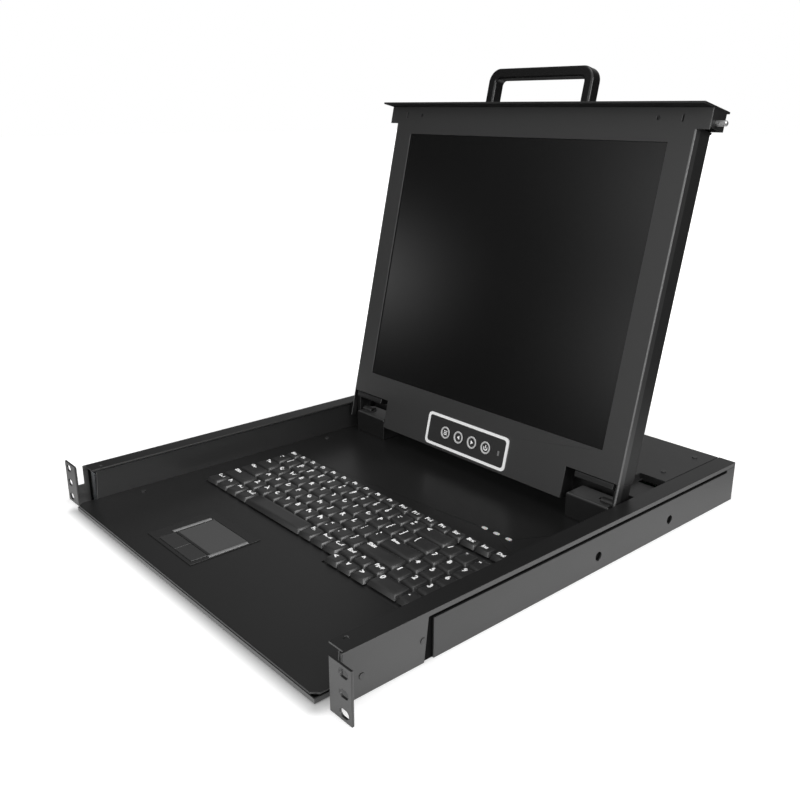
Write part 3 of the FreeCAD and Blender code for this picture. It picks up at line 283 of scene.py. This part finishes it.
def lensMaterial():
    # milky plastic that lets a little light in
    material, _, shader = newMaterial("lensClear")
    shader.inputs["Base Color"].default_value = grey(lensForm["level"])
    shader.inputs["Roughness"].default_value = lensForm["roughness"]
    shader.inputs["Subsurface Weight"].default_value = lensForm["scatter"]
    shader.inputs["Subsurface Scale"].default_value = lensForm["depth"] * mm
    return material


materials = {name: grainMaterial(name, **values) for name, values in finishes.items()}
materials.update({name: metalMaterial(name, **values) for name, values in metals.items()})
materials["screenGloss"] = screenMaterial()
materials["lensClear"] = lensMaterial()

slotMaterials = {
    "case_black": "caseBlack", "rail_black": "railBlack", "slide_steel": "slideSteel",
    "bright_steel": "brightSteel", "key_black": "keyBlack", "pad_grey": "padGrey",
    "trim_black": "trimBlack", "screen_gloss": "screenGloss", "module_metal": "moduleMetal",
    "board_green": "boardGreen", "frame_light": "frameLight", "handle_black": "handleBlack",
    "socket_black": "socketBlack", "lens_clear": "lensClear", "screw_black": "screwBlack",
}
# nodes whose finish differs a little from the rest of their slot; the ear brackets' lighter black is painted
# light and the rail channels' near black is painted shade
nodeMaterials = {
    "screen_bezel": "bezelBlack", "screen_back_cover": "wallAndShadeBlack", "front_panel": "panelBlack",
    "latch_bracket_left": "wallAndShadeBlack", "latch_bracket_right": "wallAndShadeBlack", "tray_pan": "trayBlack",
    "rail_channel_left": "channelPaintedShade", "rail_channel_right": "channelPaintedShade",
    "ear_bracket_left": "earPaintedLightBlack", "ear_bracket_right": "earPaintedLightBlack", "rear_cover": "trayBlack",
    "touch_button_left": "bezelBlack", "touch_button_right": "bezelBlack", "touchpad_bezel": "panelBlack",
}

for name, obj in nodes.items():
    obj.data.materials.clear()
    obj.data.materials.append(materials[nodeMaterials.get(name, slotMaterials[slotOf[name]])])
print("materials placed on the frame's nodes")


# Pieces: shared steps

def meshPoints(mesh):
    # a mesh's points as rows of x, y and z
    points = np.empty(len(mesh.vertices) * 3)
    mesh.vertices.foreach_get("co", points)
    return points.reshape(-1, 3)


def nodePoints(node):
    # the same for a CAD node
    return meshPoints(nodes[node].data)


def addPiece(name, blocks, material, node, replaced=(), sharpAngle=40.0):
    # one mesh from blocks of (points, faces), each block's faces counted on from the points before it,
    # riding on the body of the CAD node that it belongs to
    points, faces = [], []
    for blockPoints, blockFaces in blocks:
        first = len(points)
        points += np.asarray(blockPoints).tolist()
        faces += [(np.asarray(face) + first).tolist() for face in blockFaces]
    mesh = bpy.data.meshes.new(name)
    mesh.from_pydata(points, [], faces)
    mesh.validate()
    mesh.materials.append(materials[material])
    mesh.shade_smooth()
    mesh.set_sharp_from_angle(angle=math.radians(sharpAngle))
    piece = bpy.data.objects.new(name, mesh)
    bpy.context.scene.collection.objects.link(piece)
    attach(piece, bodyOf[node])
    if replaced:
        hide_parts(*replaced)


def gridFaces(rings, around, closed=True):
    # quads between neighbouring rings of points; an open row of points has no quad from its last to its first
    ring = np.arange(rings - 1)[:, None] * around
    step = np.arange(around if closed else around - 1)[None, :]
    nextStep = (step + 1) % around
    quads = np.stack([ring + step, ring + nextStep, ring + around + nextStep, ring + around + step], axis=-1)
    return quads.reshape(-1, 4)


def roundedRing(halfX, halfY, corner, perCorner):
    # points around a rounded rectangle: each corner's centre plus its radius times (cos, sin), anticlockwise
    turn = np.linspace(0, math.pi / 2, perCorner)
    angles = (np.arange(4)[:, None] * math.pi / 2 + turn[None, :]).ravel()
    signX = np.repeat([1, -1, -1, 1], perCorner)
    signY = np.repeat([1, 1, -1, -1], perCorner)
    x = signX * (halfX - corner)[:, None] + corner * np.cos(angles)
    y = signY * (halfY - corner)[:, None] + corner * np.sin(angles)
    return x, y


# Rolled edges: the width of the bevel on each sheet or casting, in mm
softEdges = {
    "ear_bracket_left": 0.35, "ear_bracket_right": 0.35, "side_plates": 0.35,
    "tray_pan": 0.3, "keyboard_deck": 0.35, "touchpad_bezel": 0.25, "touchpad": 0.15,
    "touch_button_left": 0.15, "touch_button_right": 0.15,
    "rear_cover": 0.5, "rear_panel": 0.3, "hinge_arm_left": 0.5, "hinge_arm_right": 0.5,
    "hinge_block_left": 0.5, "hinge_block_right": 0.5,
    "screen_bezel": 0.4, "front_panel": 0.4, "pull_handle": 0.6,
    "latch_bracket_left": 0.3, "latch_bracket_right": 0.3, "power_inlet": 0.3,
}
edgeRoll = dict(
    segments=2, angle=math.radians(30.0), sameFace=math.radians(0.5), samePoint=0.001 * mm, faceWeight=100,
)
# sheets with large openings keep their triangles, since one face cannot go round a hole
wholeTriangles = {"keyboard_deck"}


def softened(name, width):
    # the CAD node again, with its loose triangles joined and its sharp edges rolled over by a small bevel
    mesh = nodes[name].data.copy()
    mesh.name = name + "_soft"
    shape = bmesh.new()
    shape.from_mesh(mesh)
    bmesh.ops.remove_doubles(shape, verts=shape.verts, dist=edgeRoll["samePoint"])
    if name not in wholeTriangles:
        bmesh.ops.dissolve_limit(
            shape, angle_limit=edgeRoll["sameFace"], verts=shape.verts, edges=shape.edges,
        )
    shape.to_mesh(mesh)
    shape.free()
    piece = bpy.data.objects.new(name + "_soft", mesh)
    bpy.context.scene.collection.objects.link(piece)
    mesh.shade_smooth()
    mesh.set_sharp_from_angle(angle=edgeRoll["angle"])
    bevel = piece.modifiers.new("edges", "BEVEL")
    bevel.width = width * mm
    bevel.segments = edgeRoll["segments"]
    bevel.limit_method = "ANGLE"
    bevel.angle_limit = edgeRoll["angle"]
    bevel.use_clamp_overlap = False
    bevel.miter_outer = "MITER_ARC"
    weighted = piece.modifiers.new("normals", "WEIGHTED_NORMAL")
    weighted.mode = "FACE_AREA"
    weighted.weight = edgeRoll["faceWeight"]
    weighted.keep_sharp = True
    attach(piece, bodyOf[name])
    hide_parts(name)
    return piece


softPieces = {node: softened(node, width) for node, width in softEdges.items()}
print("edges rolled over on", len(softEdges), "nodes")


# Keys: caps with rounded tops and a shallow dish, placed on the flat tops of the CAD keys

keyForm = dict(
    topCorner=1.6, skirtCorner=0.7, sideSlope=1.5, frontSlope=1.9, backSlope=0.9, skirtHeight=4.2,
    topRound=0.9, dish=0.22, stemHalf=2.5, stemCorner=0.02, stemDrop=4.0, rowBand=4.0,
)
keyPerCorner = 3
# rings over the top's rounded edge: outwards and downwards in parts of topRound, corner of topCorner
keyEdge = [(0.3, 1.0, 1.0), (0.05, 0.4, 1.0), (-0.6, 0.0, 0.8)]
# the ring inside the dish: parts of the half sizes, and of topCorner
keyDish = (0.55, 0.6, 0.5)


def capTops(node):
    # each key's flat top is two triangles with one bounding box: the boxes at the greatest height
    # are the tops, sorted in rows from the front, each row from the left
    mesh = nodes[node].data
    corners = np.empty(len(mesh.loop_triangles) * 3, dtype=int)
    mesh.loop_triangles.foreach_get("vertices", corners)
    triangles = meshPoints(mesh)[corners.reshape(-1, 3)]
    top = triangles[..., 2].max()
    flat = triangles[(triangles[..., 2] > top - flatness).all(axis=1)]
    boxes = np.concatenate([flat.min(axis=1)[:, :2], flat.max(axis=1)[:, :2]], axis=1)
    boxes = np.unique(boxes.round(6), axis=0)  # to the micrometre
    order = np.lexsort((boxes[:, 0], (boxes[:, 1] / (keyForm["rowBand"] * mm)).round()))
    return boxes[order], top


def keyCaps(node):
    # each ring of a key is a rounded rectangle with its own half sizes, step in y, height and corner radius;
    # the rings at the top sink by dish * (1 - (x / halfX)^2)
    boxes, top = capTops(node)
    form = {key: value * mm for key, value in keyForm.items()}
    x0, y0, x1, y1 = boxes.T
    middleX, middleY = (x0 + x1) / 2, (y0 + y1) / 2
    halfX, halfY = (x1 - x0) / 2, (y1 - y0) / 2
    shift = (form["backSlope"] - form["frontSlope"]) / 2
    slopeY = (form["frontSlope"] + form["backSlope"]) / 2
    low = top - form["skirtHeight"]
    foot = low - form["stemDrop"]
    stem = np.full_like(halfX, form["stemHalf"])
    rings = [
        (stem, stem, 0.0, foot, form["stemCorner"]),
        (stem, stem, 0.0, low, form["stemCorner"]),
        (halfX + form["sideSlope"], halfY + slopeY, shift, low, form["skirtCorner"]),
    ]
    for outwards, downwards, corner in keyEdge:
        reach, drop = outwards * form["topRound"], downwards * form["topRound"]
        rings.append((halfX + reach, halfY + reach, 0.0, top - drop, corner * form["topCorner"]))
    partX, partY, corner = keyDish
    rings.append((partX * halfX, partY * halfY, 0.0, top, corner * form["topCorner"]))
    layers = []
    for a, b, stepY, height, corner in rings:
        x, y = roundedRing(a, b, corner, keyPerCorner)
        sink = form["dish"] * (1 - (x / halfX[:, None]) ** 2) if height >= top else 0.0
        z = np.full_like(x, height) - sink
        layers.append(np.stack([x + middleX[:, None], y + middleY[:, None] + stepY, z], axis=-1))
    layers = np.stack(layers, axis=1)
    count, ringCount, around, _ = layers.shape
    centres = np.stack([middleX, middleY, np.full(count, top - form["dish"])], axis=-1)
    feet = np.stack([middleX, middleY, np.full(count, foot)], axis=-1)
    perKey = ringCount * around + 2
    points = np.concatenate([layers.reshape(count, -1, 3), centres[:, None], feet[:, None]], axis=1)
    last = (ringCount - 1) * around
    step = np.arange(around)
    nextStep = (step + 1) % around
    topFan = np.stack([last + step, last + nextStep, np.full(around, perKey - 2)], axis=-1)
    footFan = np.stack([nextStep, step, np.full(around, perKey - 1)], axis=-1)
    firsts = (np.arange(count) * perKey)[:, None, None]
    quads = (gridFaces(ringCount, around)[None] + firsts).reshape(-1, 4)
    fans = (np.concatenate([topFan, footFan])[None] + firsts).reshape(-1, 3)
    block = (points.reshape(-1, 3), quads.tolist() + fans.tolist())
    addPiece(node + "_caps", [block], "keyBlack", node, replaced=[node], sharpAngle=35.0)
    return boxes, top


legends = {
    "keys_function": ["Esc"] + ["F" + str(n) for n in range(1, 13)] + ["Prt", "Scr", "Brk", "Ins", "Del"],
    "keys_number": [
        "~ `", "! 1", "@ 2", "# 3", "$ 4", "% 5", "^ 6", "& 7", "* 8", "( 9", ") 0", "_ -", "+ =", "<",
    ],
    "keys_upper": ["Tab", "Q", "W", "E", "R", "T", "Y", "U", "I", "O", "P", "{ [", "} ]", "| \\"],
    "keys_home": ["Caps", "A", "S", "D", "F", "G", "H", "J", "K", "L", ": ;", "\" '", "Enter"],
    "keys_lower": ["Shift", "Z", "X", "C", "V", "B", "N", "M", "< ,", "> .", "? /", "Shift"],
    "keys_bottom": ["<", "v", ">", "Ctrl", "Fn", "Alt", "Alt2", "Fn", "Menu", "Ctrl", "End", "^", "PgUp"],
    "keys_numpad": ["0", ".", "1", "2", "3", "4", "5", "6", "7", "8", "9", "/", "*", "-"],
}
# heights of a single letter, of one of a pair and of a word, and where a legend sits on its key, in mm
legendForm = dict(
    letter=5.6, pair=4.1, word=4.3, longest=11.4, insetX=1.6, insetY=1.2, line=0.6, proud=0.03, depth=0.08,
)
# the font, in parts of its size
fontForm = dict(capital=0.7, line=0.72, bold=0.045, thick=0.01, curveSteps=2)
glyphs = {}


def glyphMesh(text):
    # one legend as a flat text mesh, in units of its size, made once and kept
    if text not in glyphs:
        curve = bpy.data.curves.new("legend", "FONT")
        curve.body = text
        curve.size = 1.0
        curve.resolution_u = fontForm["curveSteps"]
        curve.offset = fontForm["bold"]
        curve.extrude = fontForm["thick"]
        holder = bpy.data.objects.new("legend", curve)
        bpy.context.scene.collection.objects.link(holder)
        mesh = bpy.data.meshes.new_from_object(holder.evaluated_get(bpy.context.evaluated_depsgraph_get()))
        glyphs[text] = (meshPoints(mesh), [list(face.vertices) for face in mesh.polygons])
        bpy.data.objects.remove(holder)
        bpy.data.meshes.remove(mesh)
    return glyphs[text]


def keyLegends(node, boxes, top):
    # each legend sits near the back left corner of its key and follows the dish of the top
    form = {key: value * mm for key, value in legendForm.items()}
    dish = keyForm["dish"] * mm
    blocks = []
    for (x0, y0, x1, y1), text in zip(boxes, legends[node]):
        words = text.split()
        for row, word in enumerate(words):
            glyph, faces = glyphMesh(word)
            kind = "word" if len(word) > 1 else "pair" if len(words) > 1 else "letter"
            size = min(form[kind] / fontForm["capital"], form["longest"] / np.ptp(glyph[:, 0]))
            drop = form["insetY"] + (row + 1) * fontForm["line"] * size + row * form["line"]
            x = x0 + form["insetX"] + (glyph[:, 0] - glyph[:, 0].min()) * size
            y = y1 - drop + glyph[:, 1] * size
            bend = dish * (1 - ((x - (x0 + x1) / 2) / ((x1 - x0) / 2)) ** 2)
            lift = np.where(glyph[:, 2] > 0, form["proud"], -form["depth"])
            blocks.append((np.stack([x, y, top - bend + lift], axis=-1), faces))
    addPiece(node + "_legends", blocks, "legendWhite", node)


for node in list(legends) + ["space_bar"]:
    boxes, top = keyCaps(node)
    if node in legends:
        keyLegends(node, boxes, top)
print("keys and their legends placed")


# Directions: across the object, up the screen unit and into it, where its buttons travel

joints = {joint["name"]: joint for joint in behaviour["joints"]}
inward = np.array(joints["menu_key_1_travel"]["axis"])
across = np.array([1.0, 0.0, 0.0])
upward = np.cross(across, inward)
toFront = np.array([0.0, -1.0, 0.0])
skyward = np.array([0.0, 0.0, 1.0])
blockSlope = np.array([0.0, -0.5, 0.87])
facingCosine = 0.9  # about 25 degrees


def turnedAway(piece, directions, material):
    # painted light and shade: a lighter or darker copy of the coat on the faces whose normal . direction is
    # over facingCosine for one of the directions
    mesh = piece.data
    normals = np.empty(len(mesh.polygons) * 3)
    mesh.polygons.foreach_get("normal", normals)
    facing = (normals.reshape(-1, 3) @ np.array(directions).T).max(axis=1) > facingCosine
    mesh.materials.append(materials[material])
    mesh.polygons.foreach_set("material_index", facing.astype(np.int32))


# painted shade on the front panel's sides, underside and back and on the deck's front faces, a painted
# highlight on the tray's front lip, painted shade on the ear brackets' tops, and painted light on the hinge
# blocks' top and sloped faces
turnedAway(softPieces["front_panel"], [across, -across, -upward, inward], "wallAndShadeBlack")
turnedAway(softPieces["tray_pan"], [toFront], "lipPaintedHighlight")
turnedAway(softPieces["keyboard_deck"], [toFront], "wallAndShadeBlack")
for side in ("left", "right"):
    turnedAway(softPieces["ear_bracket_" + side], [skyward], "flangePaintedShade")
    turnedAway(softPieces["hinge_block_" + side], [blockSlope, skyward], "blockPaintedLight")
print("second finishes placed")


# Edges of the screen unit: a rolled corner whose light grey is a painted highlight, and a short band back
# along the wall

edgeForm = dict(front=1.5, corner=0.9, proud=0.12, sunk=0.05, band=7.5, turns=5)


def bezelEdges():
    # one outline, sideways from the edge and back from the face, carried up both sides of the screen unit
    corner, proud, sunk, band = (edgeForm[key] for key in ("corner", "proud", "sunk", "band"))
    wall = nodePoints("screen_back_cover")
    half = (wall @ across).max()
    ends = (wall @ upward).min(), (wall @ upward).max()
    face = (nodePoints("screen_bezel") @ inward).min()
    turn = np.linspace(0, math.pi / 2, edgeForm["turns"])
    sideways, backwards = proud - corner + corner * np.sin(turn), corner - proud - corner * np.cos(turn)
    rolled = np.stack([sideways, backwards], axis=1)
    lines = np.concatenate([[(-edgeForm["front"], sunk), (-edgeForm["front"], -proud)], rolled])
    bands = np.array([rolled[-1], (proud, band), (-sunk, band)])
    # the edge lines' light grey is a painted highlight
    pieces = {"bezel_edge_painted_highlights": (lines, "edgePaintedHighlight"), "bezel_edge_bands": (bands, "railBlack")}
    for name, (outline, material) in pieces.items():
        quads = gridFaces(2, len(outline), closed=False)
        depths = (face + outline[:, 1:] * mm) * inward
        blocks = []
        for side in (-1.0, 1.0):
            widths = (side * (half + outline[:, 0] * mm))[:, None] * across
            points = np.concatenate([widths + end * upward + depths for end in ends])
            blocks.append((points, quads if side > 0 else quads[:, ::-1]))
        addPiece(name, blocks, material, "screen_bezel", sharpAngle=50.0)


coverEnd = dict(thick=1.3, inset=0.1, rise=2.05)


def coverEnds():
    # the side walls carried up to the latch brackets: two small boxes, corners from every (low, high) choice
    wall = nodePoints("screen_back_cover")
    half = (wall @ across).max() - coverEnd["inset"] * mm
    high = (wall @ upward).max()
    near, far = (wall @ inward).min(), (wall @ inward).max()
    corners = np.array([(a, b, c) for c in (0, 1) for b in (0, 1) for a in (0, 1)])
    box = np.array([[0, 2, 3, 1], [4, 5, 7, 6], [0, 1, 5, 4], [2, 6, 7, 3], [0, 4, 6, 2], [1, 3, 7, 5]])
    rise = (high + corners[:, 1] * coverEnd["rise"] * mm)[:, None] * upward
    back = (near + corners[:, 2] * (far - near))[:, None] * inward
    blocks = []
    for start in (-half, half - coverEnd["thick"] * mm):
        sideways = (start + corners[:, 0] * coverEnd["thick"] * mm)[:, None] * across
        blocks.append((sideways + rise + back, box))
    addPiece("back_cover_ends", blocks, "wallAndShadeBlack", "screen_back_cover", sharpAngle=30.0)


bezelEdges()
coverEnds()
print("edges of the screen unit placed")


# Menu strip: rings and icons on the buttons, and the lamp's window

def rectangle(x0, z0, x1, z1):
    # corners anticlockwise from the lower left
    return [(x0, z0), (x1, z0), (x1, z1), (x0, z1)]


# a ring's profile is (radius, height); all in mm
menuForm = dict(
    ring=[(6.9, -0.4), (6.88, 0.1), (6.6, 0.34), (5.95, 0.42), (5.3, 0.34), (4.9, 0.1), (4.9, -0.45)],
    around=32, iconLift=-0.44, printThick=0.06,
)
# each icon is a few outlines of (x, z) in mm, drawn anticlockwise
menuIcons = {
    "menu_button_1": [rectangle(-2.6, z - 0.45, 2.6, z + 0.45) for z in (-1.9, 0.0, 1.9)],
    "menu_button_2": [[(1.5, -2.3), (1.5, 2.3), (-2.1, 0.0)]],
    "menu_button_3": [[(-1.5, 2.3), (-1.5, -2.3), (2.1, 0.0)]],
    "menu_button_4": [
        rectangle(-0.55, -0.2, 0.55, 3.0),
        [
            (-2.7, 1.2), (-3.1, -0.2), (-2.4, -2.0), (-0.8, -3.0),
            (0.8, -3.0), (2.4, -2.0), (3.1, -0.2), (2.7, 1.2),
            (1.7, 0.6), (1.9, -0.2), (1.4, -1.3), (0.5, -1.9),
            (-0.5, -1.9), (-1.4, -1.3), (-1.9, -0.2), (-1.7, 0.6),
        ],
    ],
}
# the lamp's place is counted on from the last button in spacings of the buttons
menuLamp = dict(steps=0.89, lower=1.0, halfWide=1.2, halfHigh=2.6)


def frontCentre(node):
    # middle of the face that looks out of the screen unit, from the extremes of its points
    points = nodePoints(node)
    depth = points @ inward
    front = points[depth < depth.min() + flatness]
    sides = [front @ direction for direction in (across, upward)]
    middle = [(side.min() + side.max()) / 2 for side in sides]
    return middle[0] * across + middle[1] * upward + depth.min() * inward


def onFace(centre, flat, height):
    # points (x, z) in mm of a drawing on the screen unit's face, lifted off it by height
    flat = np.asarray(flat, dtype=float) * mm
    return centre + flat[:, :1] * across + flat[:, 1:2] * upward - height * mm * inward


def menuRing(node):
    # the profile turned about the button's middle: (r cos t, r sin t) at each height
    angle = np.linspace(0, 2 * math.pi, menuForm["around"], endpoint=False)
    circle = np.stack([np.cos(angle), np.sin(angle)], axis=1)
    centre = frontCentre(node)
    rings = [onFace(centre, radius * circle, height) for radius, height in menuForm["ring"]]
    block = (np.concatenate(rings), gridFaces(len(rings), menuForm["around"]))
    addPiece(node + "_ring", [block], "ringGrey", node, sharpAngle=60.0)


def printed(name, centre, outlines, low, material, node):
    # thin prints: each outline is a face on the screen unit's side with a low wall round it
    blocks = []
    for outline in outlines:
        count = len(outline)
        walls = [onFace(centre, outline, height) for height in (low, low + menuForm["printThick"])]
        faces = [np.arange(count, 2 * count)] + list(gridFaces(2, count))
        blocks.append((np.concatenate(walls), faces))
    addPiece(name, blocks, material, node, sharpAngle=30.0)


def lampWindow():
    # last button + steps * spacing, a little lower, on the menu panel's face
    third, fourth = frontCentre("menu_button_3"), frontCentre("menu_button_4")
    place = fourth + menuLamp["steps"] * (fourth - third) - menuLamp["lower"] * mm * upward
    place += ((nodePoints("menu_panel") @ inward).min() - place @ inward) * inward
    wide, high = menuLamp["halfWide"], menuLamp["halfHigh"]
    printed("menu_lamp_window", place, [rectangle(-wide, -high, wide, high)], 0.0, "rimHighlightAndWindowGrey", "menu_panel")


for node, outlines in menuIcons.items():
    menuRing(node)
    printed(node + "_icon", frontCentre(node), outlines, menuForm["iconLift"], "legendWhite", node)
lampWindow()
print("menu rings, icons and lamp window placed")


# Touchpad: a low rounded bar along each side of the pad, its light grey a painted highlight

touchRim = dict(width=4.0, height=0.85, gapLeft=1.0, gapRight=0.2, forward=4.0, shorter=2.0)
touchRimPoints = 11


def touchRims():
    # half an ellipse over the bar's width, carried along the pad's depth, with a face on each end
    width, height, gapLeft, gapRight, forward, shorter = (value * mm for value in touchRim.values())
    pad = nodePoints("touchpad")
    top = pad[pad[:, 2] > pad[:, 2].max() - flatness]
    low, high = top.min(axis=0), top.max(axis=0)
    base = nodePoints("touchpad_bezel")[:, 2].max()
    angle = np.linspace(0, math.pi, touchRimPoints)
    z = base + height * np.sin(angle)
    near = np.arange(touchRimPoints)
    faces = list(gridFaces(2, touchRimPoints, closed=False)) + [near[::-1], touchRimPoints + near]
    blocks = []
    for start in (low[0] - gapLeft - width, high[0] + gapRight):
        x = start + width / 2 - width / 2 * np.cos(angle)
        ends = [np.stack([x, np.full_like(x, y), z], axis=1) for y in (low[1] - forward, high[1] - shorter)]
        blocks.append((np.concatenate(ends), faces))
    addPiece("touchpad_rims", blocks, "rimHighlightAndWindowGrey", "touchpad_bezel")


touchRims()
print("touchpad rims placed")


# Camera, floor and light

def addCamera():
    # yaw about the vertical from the +Y direction, and down from the horizontal, in degrees
    values = dict(
        place=(0.63180, -0.55924, 0.39338), yaw=48.853, down=18.357, lens=39.78, sensor=36.0, nearest=0.01,
    )
    data = bpy.data.cameras.new("camera")
    data.lens = values["lens"]
    data.sensor_width = values["sensor"]
    data.clip_start = values["nearest"]
    camera = bpy.data.objects.new("camera", data)
    camera.location = values["place"]
    camera.rotation_euler = (math.radians(90 - values["down"]), 0.0, math.radians(values["yaw"]))
    bpy.context.scene.collection.objects.link(camera)
    bpy.context.scene.camera = camera


def addFloor():
    # a wide flat sheet under the object: camera rays see it white with a soft shadow at the drawer's foot,
    # and reflections see it bright near the object, falling to dim over the distance
    values = dict(
        half=12.0, below=0.0003, colour=0.90, roughness=0.9, mirrored=0.40, near=0.26, far=0.70, dim=0.06,
        seenNear=0.24, seenFar=1.0, foot=(0.207, 0.2654, 10.0), footFade=0.016, footDark=0.50,
    )
    half, near, far = (values[key] for key in ("half", "near", "far"))
    mesh = bpy.data.meshes.new("floor")
    corners = [(-half, -half, 0), (half, -half, 0), (half, half, 0), (-half, half, 0)]
    mesh.from_pydata(corners, [], [(0, 1, 2, 3)])
    floor = bpy.data.objects.new("floor", mesh)
    floor.location = (0.0, 0.0, -values["below"])
    bpy.context.scene.collection.objects.link(floor)
    material, tree, shader = newMaterial("floor")
    shader.inputs["Roughness"].default_value = values["roughness"]
    shader.inputs["Specular IOR Level"].default_value = 0.0
    shader.inputs["Emission Color"].default_value = grey(1.0)
    paths = addNode(tree, "ShaderNodeLightPath").outputs
    place = addNode(tree, "ShaderNodeTexCoord").outputs["Object"]
    distance = vectorNode(tree, "LENGTH", place, output="Value")
    fade = smoothRange(tree, distance, near, far, 1.0, values["dim"])
    level = smoothRange(tree, distance, near, far, values["seenNear"], values["seenFar"])
    seen = mathNode(tree, "ADD", paths["Is Camera Ray"], paths["Is Transmission Ray"], clamp=True)
    # distance outside the drawer's foot: length of max(|place| - half size, 0)
    past = vectorNode(tree, "SUBTRACT", vectorNode(tree, "ABSOLUTE", place), values["foot"])
    away = vectorNode(tree, "LENGTH", vectorNode(tree, "MAXIMUM", past), output="Value")
    shadow = smoothRange(tree, away, 0.0, values["footFade"], values["footDark"], 1.0)
    shade = mixNode(tree, paths["Is Camera Ray"], 1.0, shadow)
    # light given off: seen * level * shade + glossy * fade * mirrored
    straight = mathNode(tree, "MULTIPLY", mathNode(tree, "MULTIPLY", seen, level), shade)
    glossy = mathNode(tree, "MULTIPLY", paths["Is Glossy Ray"], fade)
    glow = mathNode(tree, "MULTIPLY_ADD", glossy, values["mirrored"], straight)
    tree.links.new(glow, shader.inputs["Emission Strength"])
    # colour: the plain tone, less where a reflection looks far from the object, times the foot's shade
    dimmed = mathNode(tree, "MULTIPLY", paths["Is Glossy Ray"], mathNode(tree, "SUBTRACT", 1.0, fade))
    tone = mathNode(tree, "MULTIPLY", mathNode(tree, "SUBTRACT", 1.0, dimmed), values["colour"])
    tree.links.new(mathNode(tree, "MULTIPLY", tone, shade), shader.inputs["Base Color"])
    mesh.materials.append(material)


def addWorld():
    # a dim base with soft bright regions, each level * clamp(direction . toward) ^ power;
    # camera rays see plain white
    values = dict(
        base=0.035,
        regions=[
            dict(toward=(0.52, -0.45, 0.76), level=1.35, power=2.0),
            dict(toward=(-0.52, 0.80, 0.30), level=0.38, power=7.0),
            dict(toward=(-0.762, -0.642, 0.105), level=0.85, power=560.0),
            dict(toward=(-0.508, -0.810, 0.285), level=0.46, power=260.0),
            dict(toward=(-0.495, -0.860, 0.120), level=0.60, power=260.0),
        ],
    )
    world = bpy.data.worlds.new("world")
    bpy.context.scene.world = world
    world.use_nodes = True
    tree = world.node_tree
    back = tree.nodes["Background"]
    back.inputs["Color"].default_value = grey(1.0)
    direction = addNode(tree, "ShaderNodeTexCoord").outputs["Generated"]
    total = values["base"]
    for region in values["regions"]:
        unit = tuple(np.array(region["toward"]) / np.linalg.norm(region["toward"]))
        facing = vectorNode(tree, "DOT_PRODUCT", direction, unit, output="Value")
        shade = mathNode(tree, "POWER", mathNode(tree, "MAXIMUM", facing, 0.0), region["power"])
        total = mathNode(tree, "ADD", mathNode(tree, "MULTIPLY", shade, region["level"]), total)
    seen = addNode(tree, "ShaderNodeLightPath").outputs["Is Camera Ray"]
    tree.links.new(mixNode(tree, seen, total, 1.0), back.inputs["Strength"])


softboxes = {
    "rightSoftbox": dict(place=(1.8, 0.25, 0.7), target=(0.1, 0.0, 0.1), size=(1.1, 0.8), power=15.0),
    "topSoftbox": dict(place=(0.2, 0.2, 2.4), target=(0.0, 0.0, 0.1), size=(1.6, 1.6), power=14.0),
    "frontSoftbox": dict(place=(0.5, -2.0, 0.6), target=(0.0, 0.0, 0.1), size=(1.2, 0.8), power=15.0),
}


def addSoftbox(name, place, target, size, power):
    # a lamp's own -Z axis points at the target: pitched up from straight down, then turned to its side
    data = bpy.data.lights.new(name, "AREA")
    data.shape = "RECTANGLE"
    data.size, data.size_y = size
    data.energy = power
    lamp = bpy.data.objects.new(name, data)
    lamp.location = place
    x, y, z = np.array(target) - np.array(place)
    lamp.rotation_euler = (math.atan2(math.hypot(x, y), -z), 0.0, math.atan2(-x, y))
    bpy.context.scene.collection.objects.link(lamp)


addCamera()
addFloor()
addWorld()
for name, values in softboxes.items():
    addSoftbox(name, **values)
print("camera, floor and light placed")

bpy.context.scene.view_settings.view_transform = "Standard"
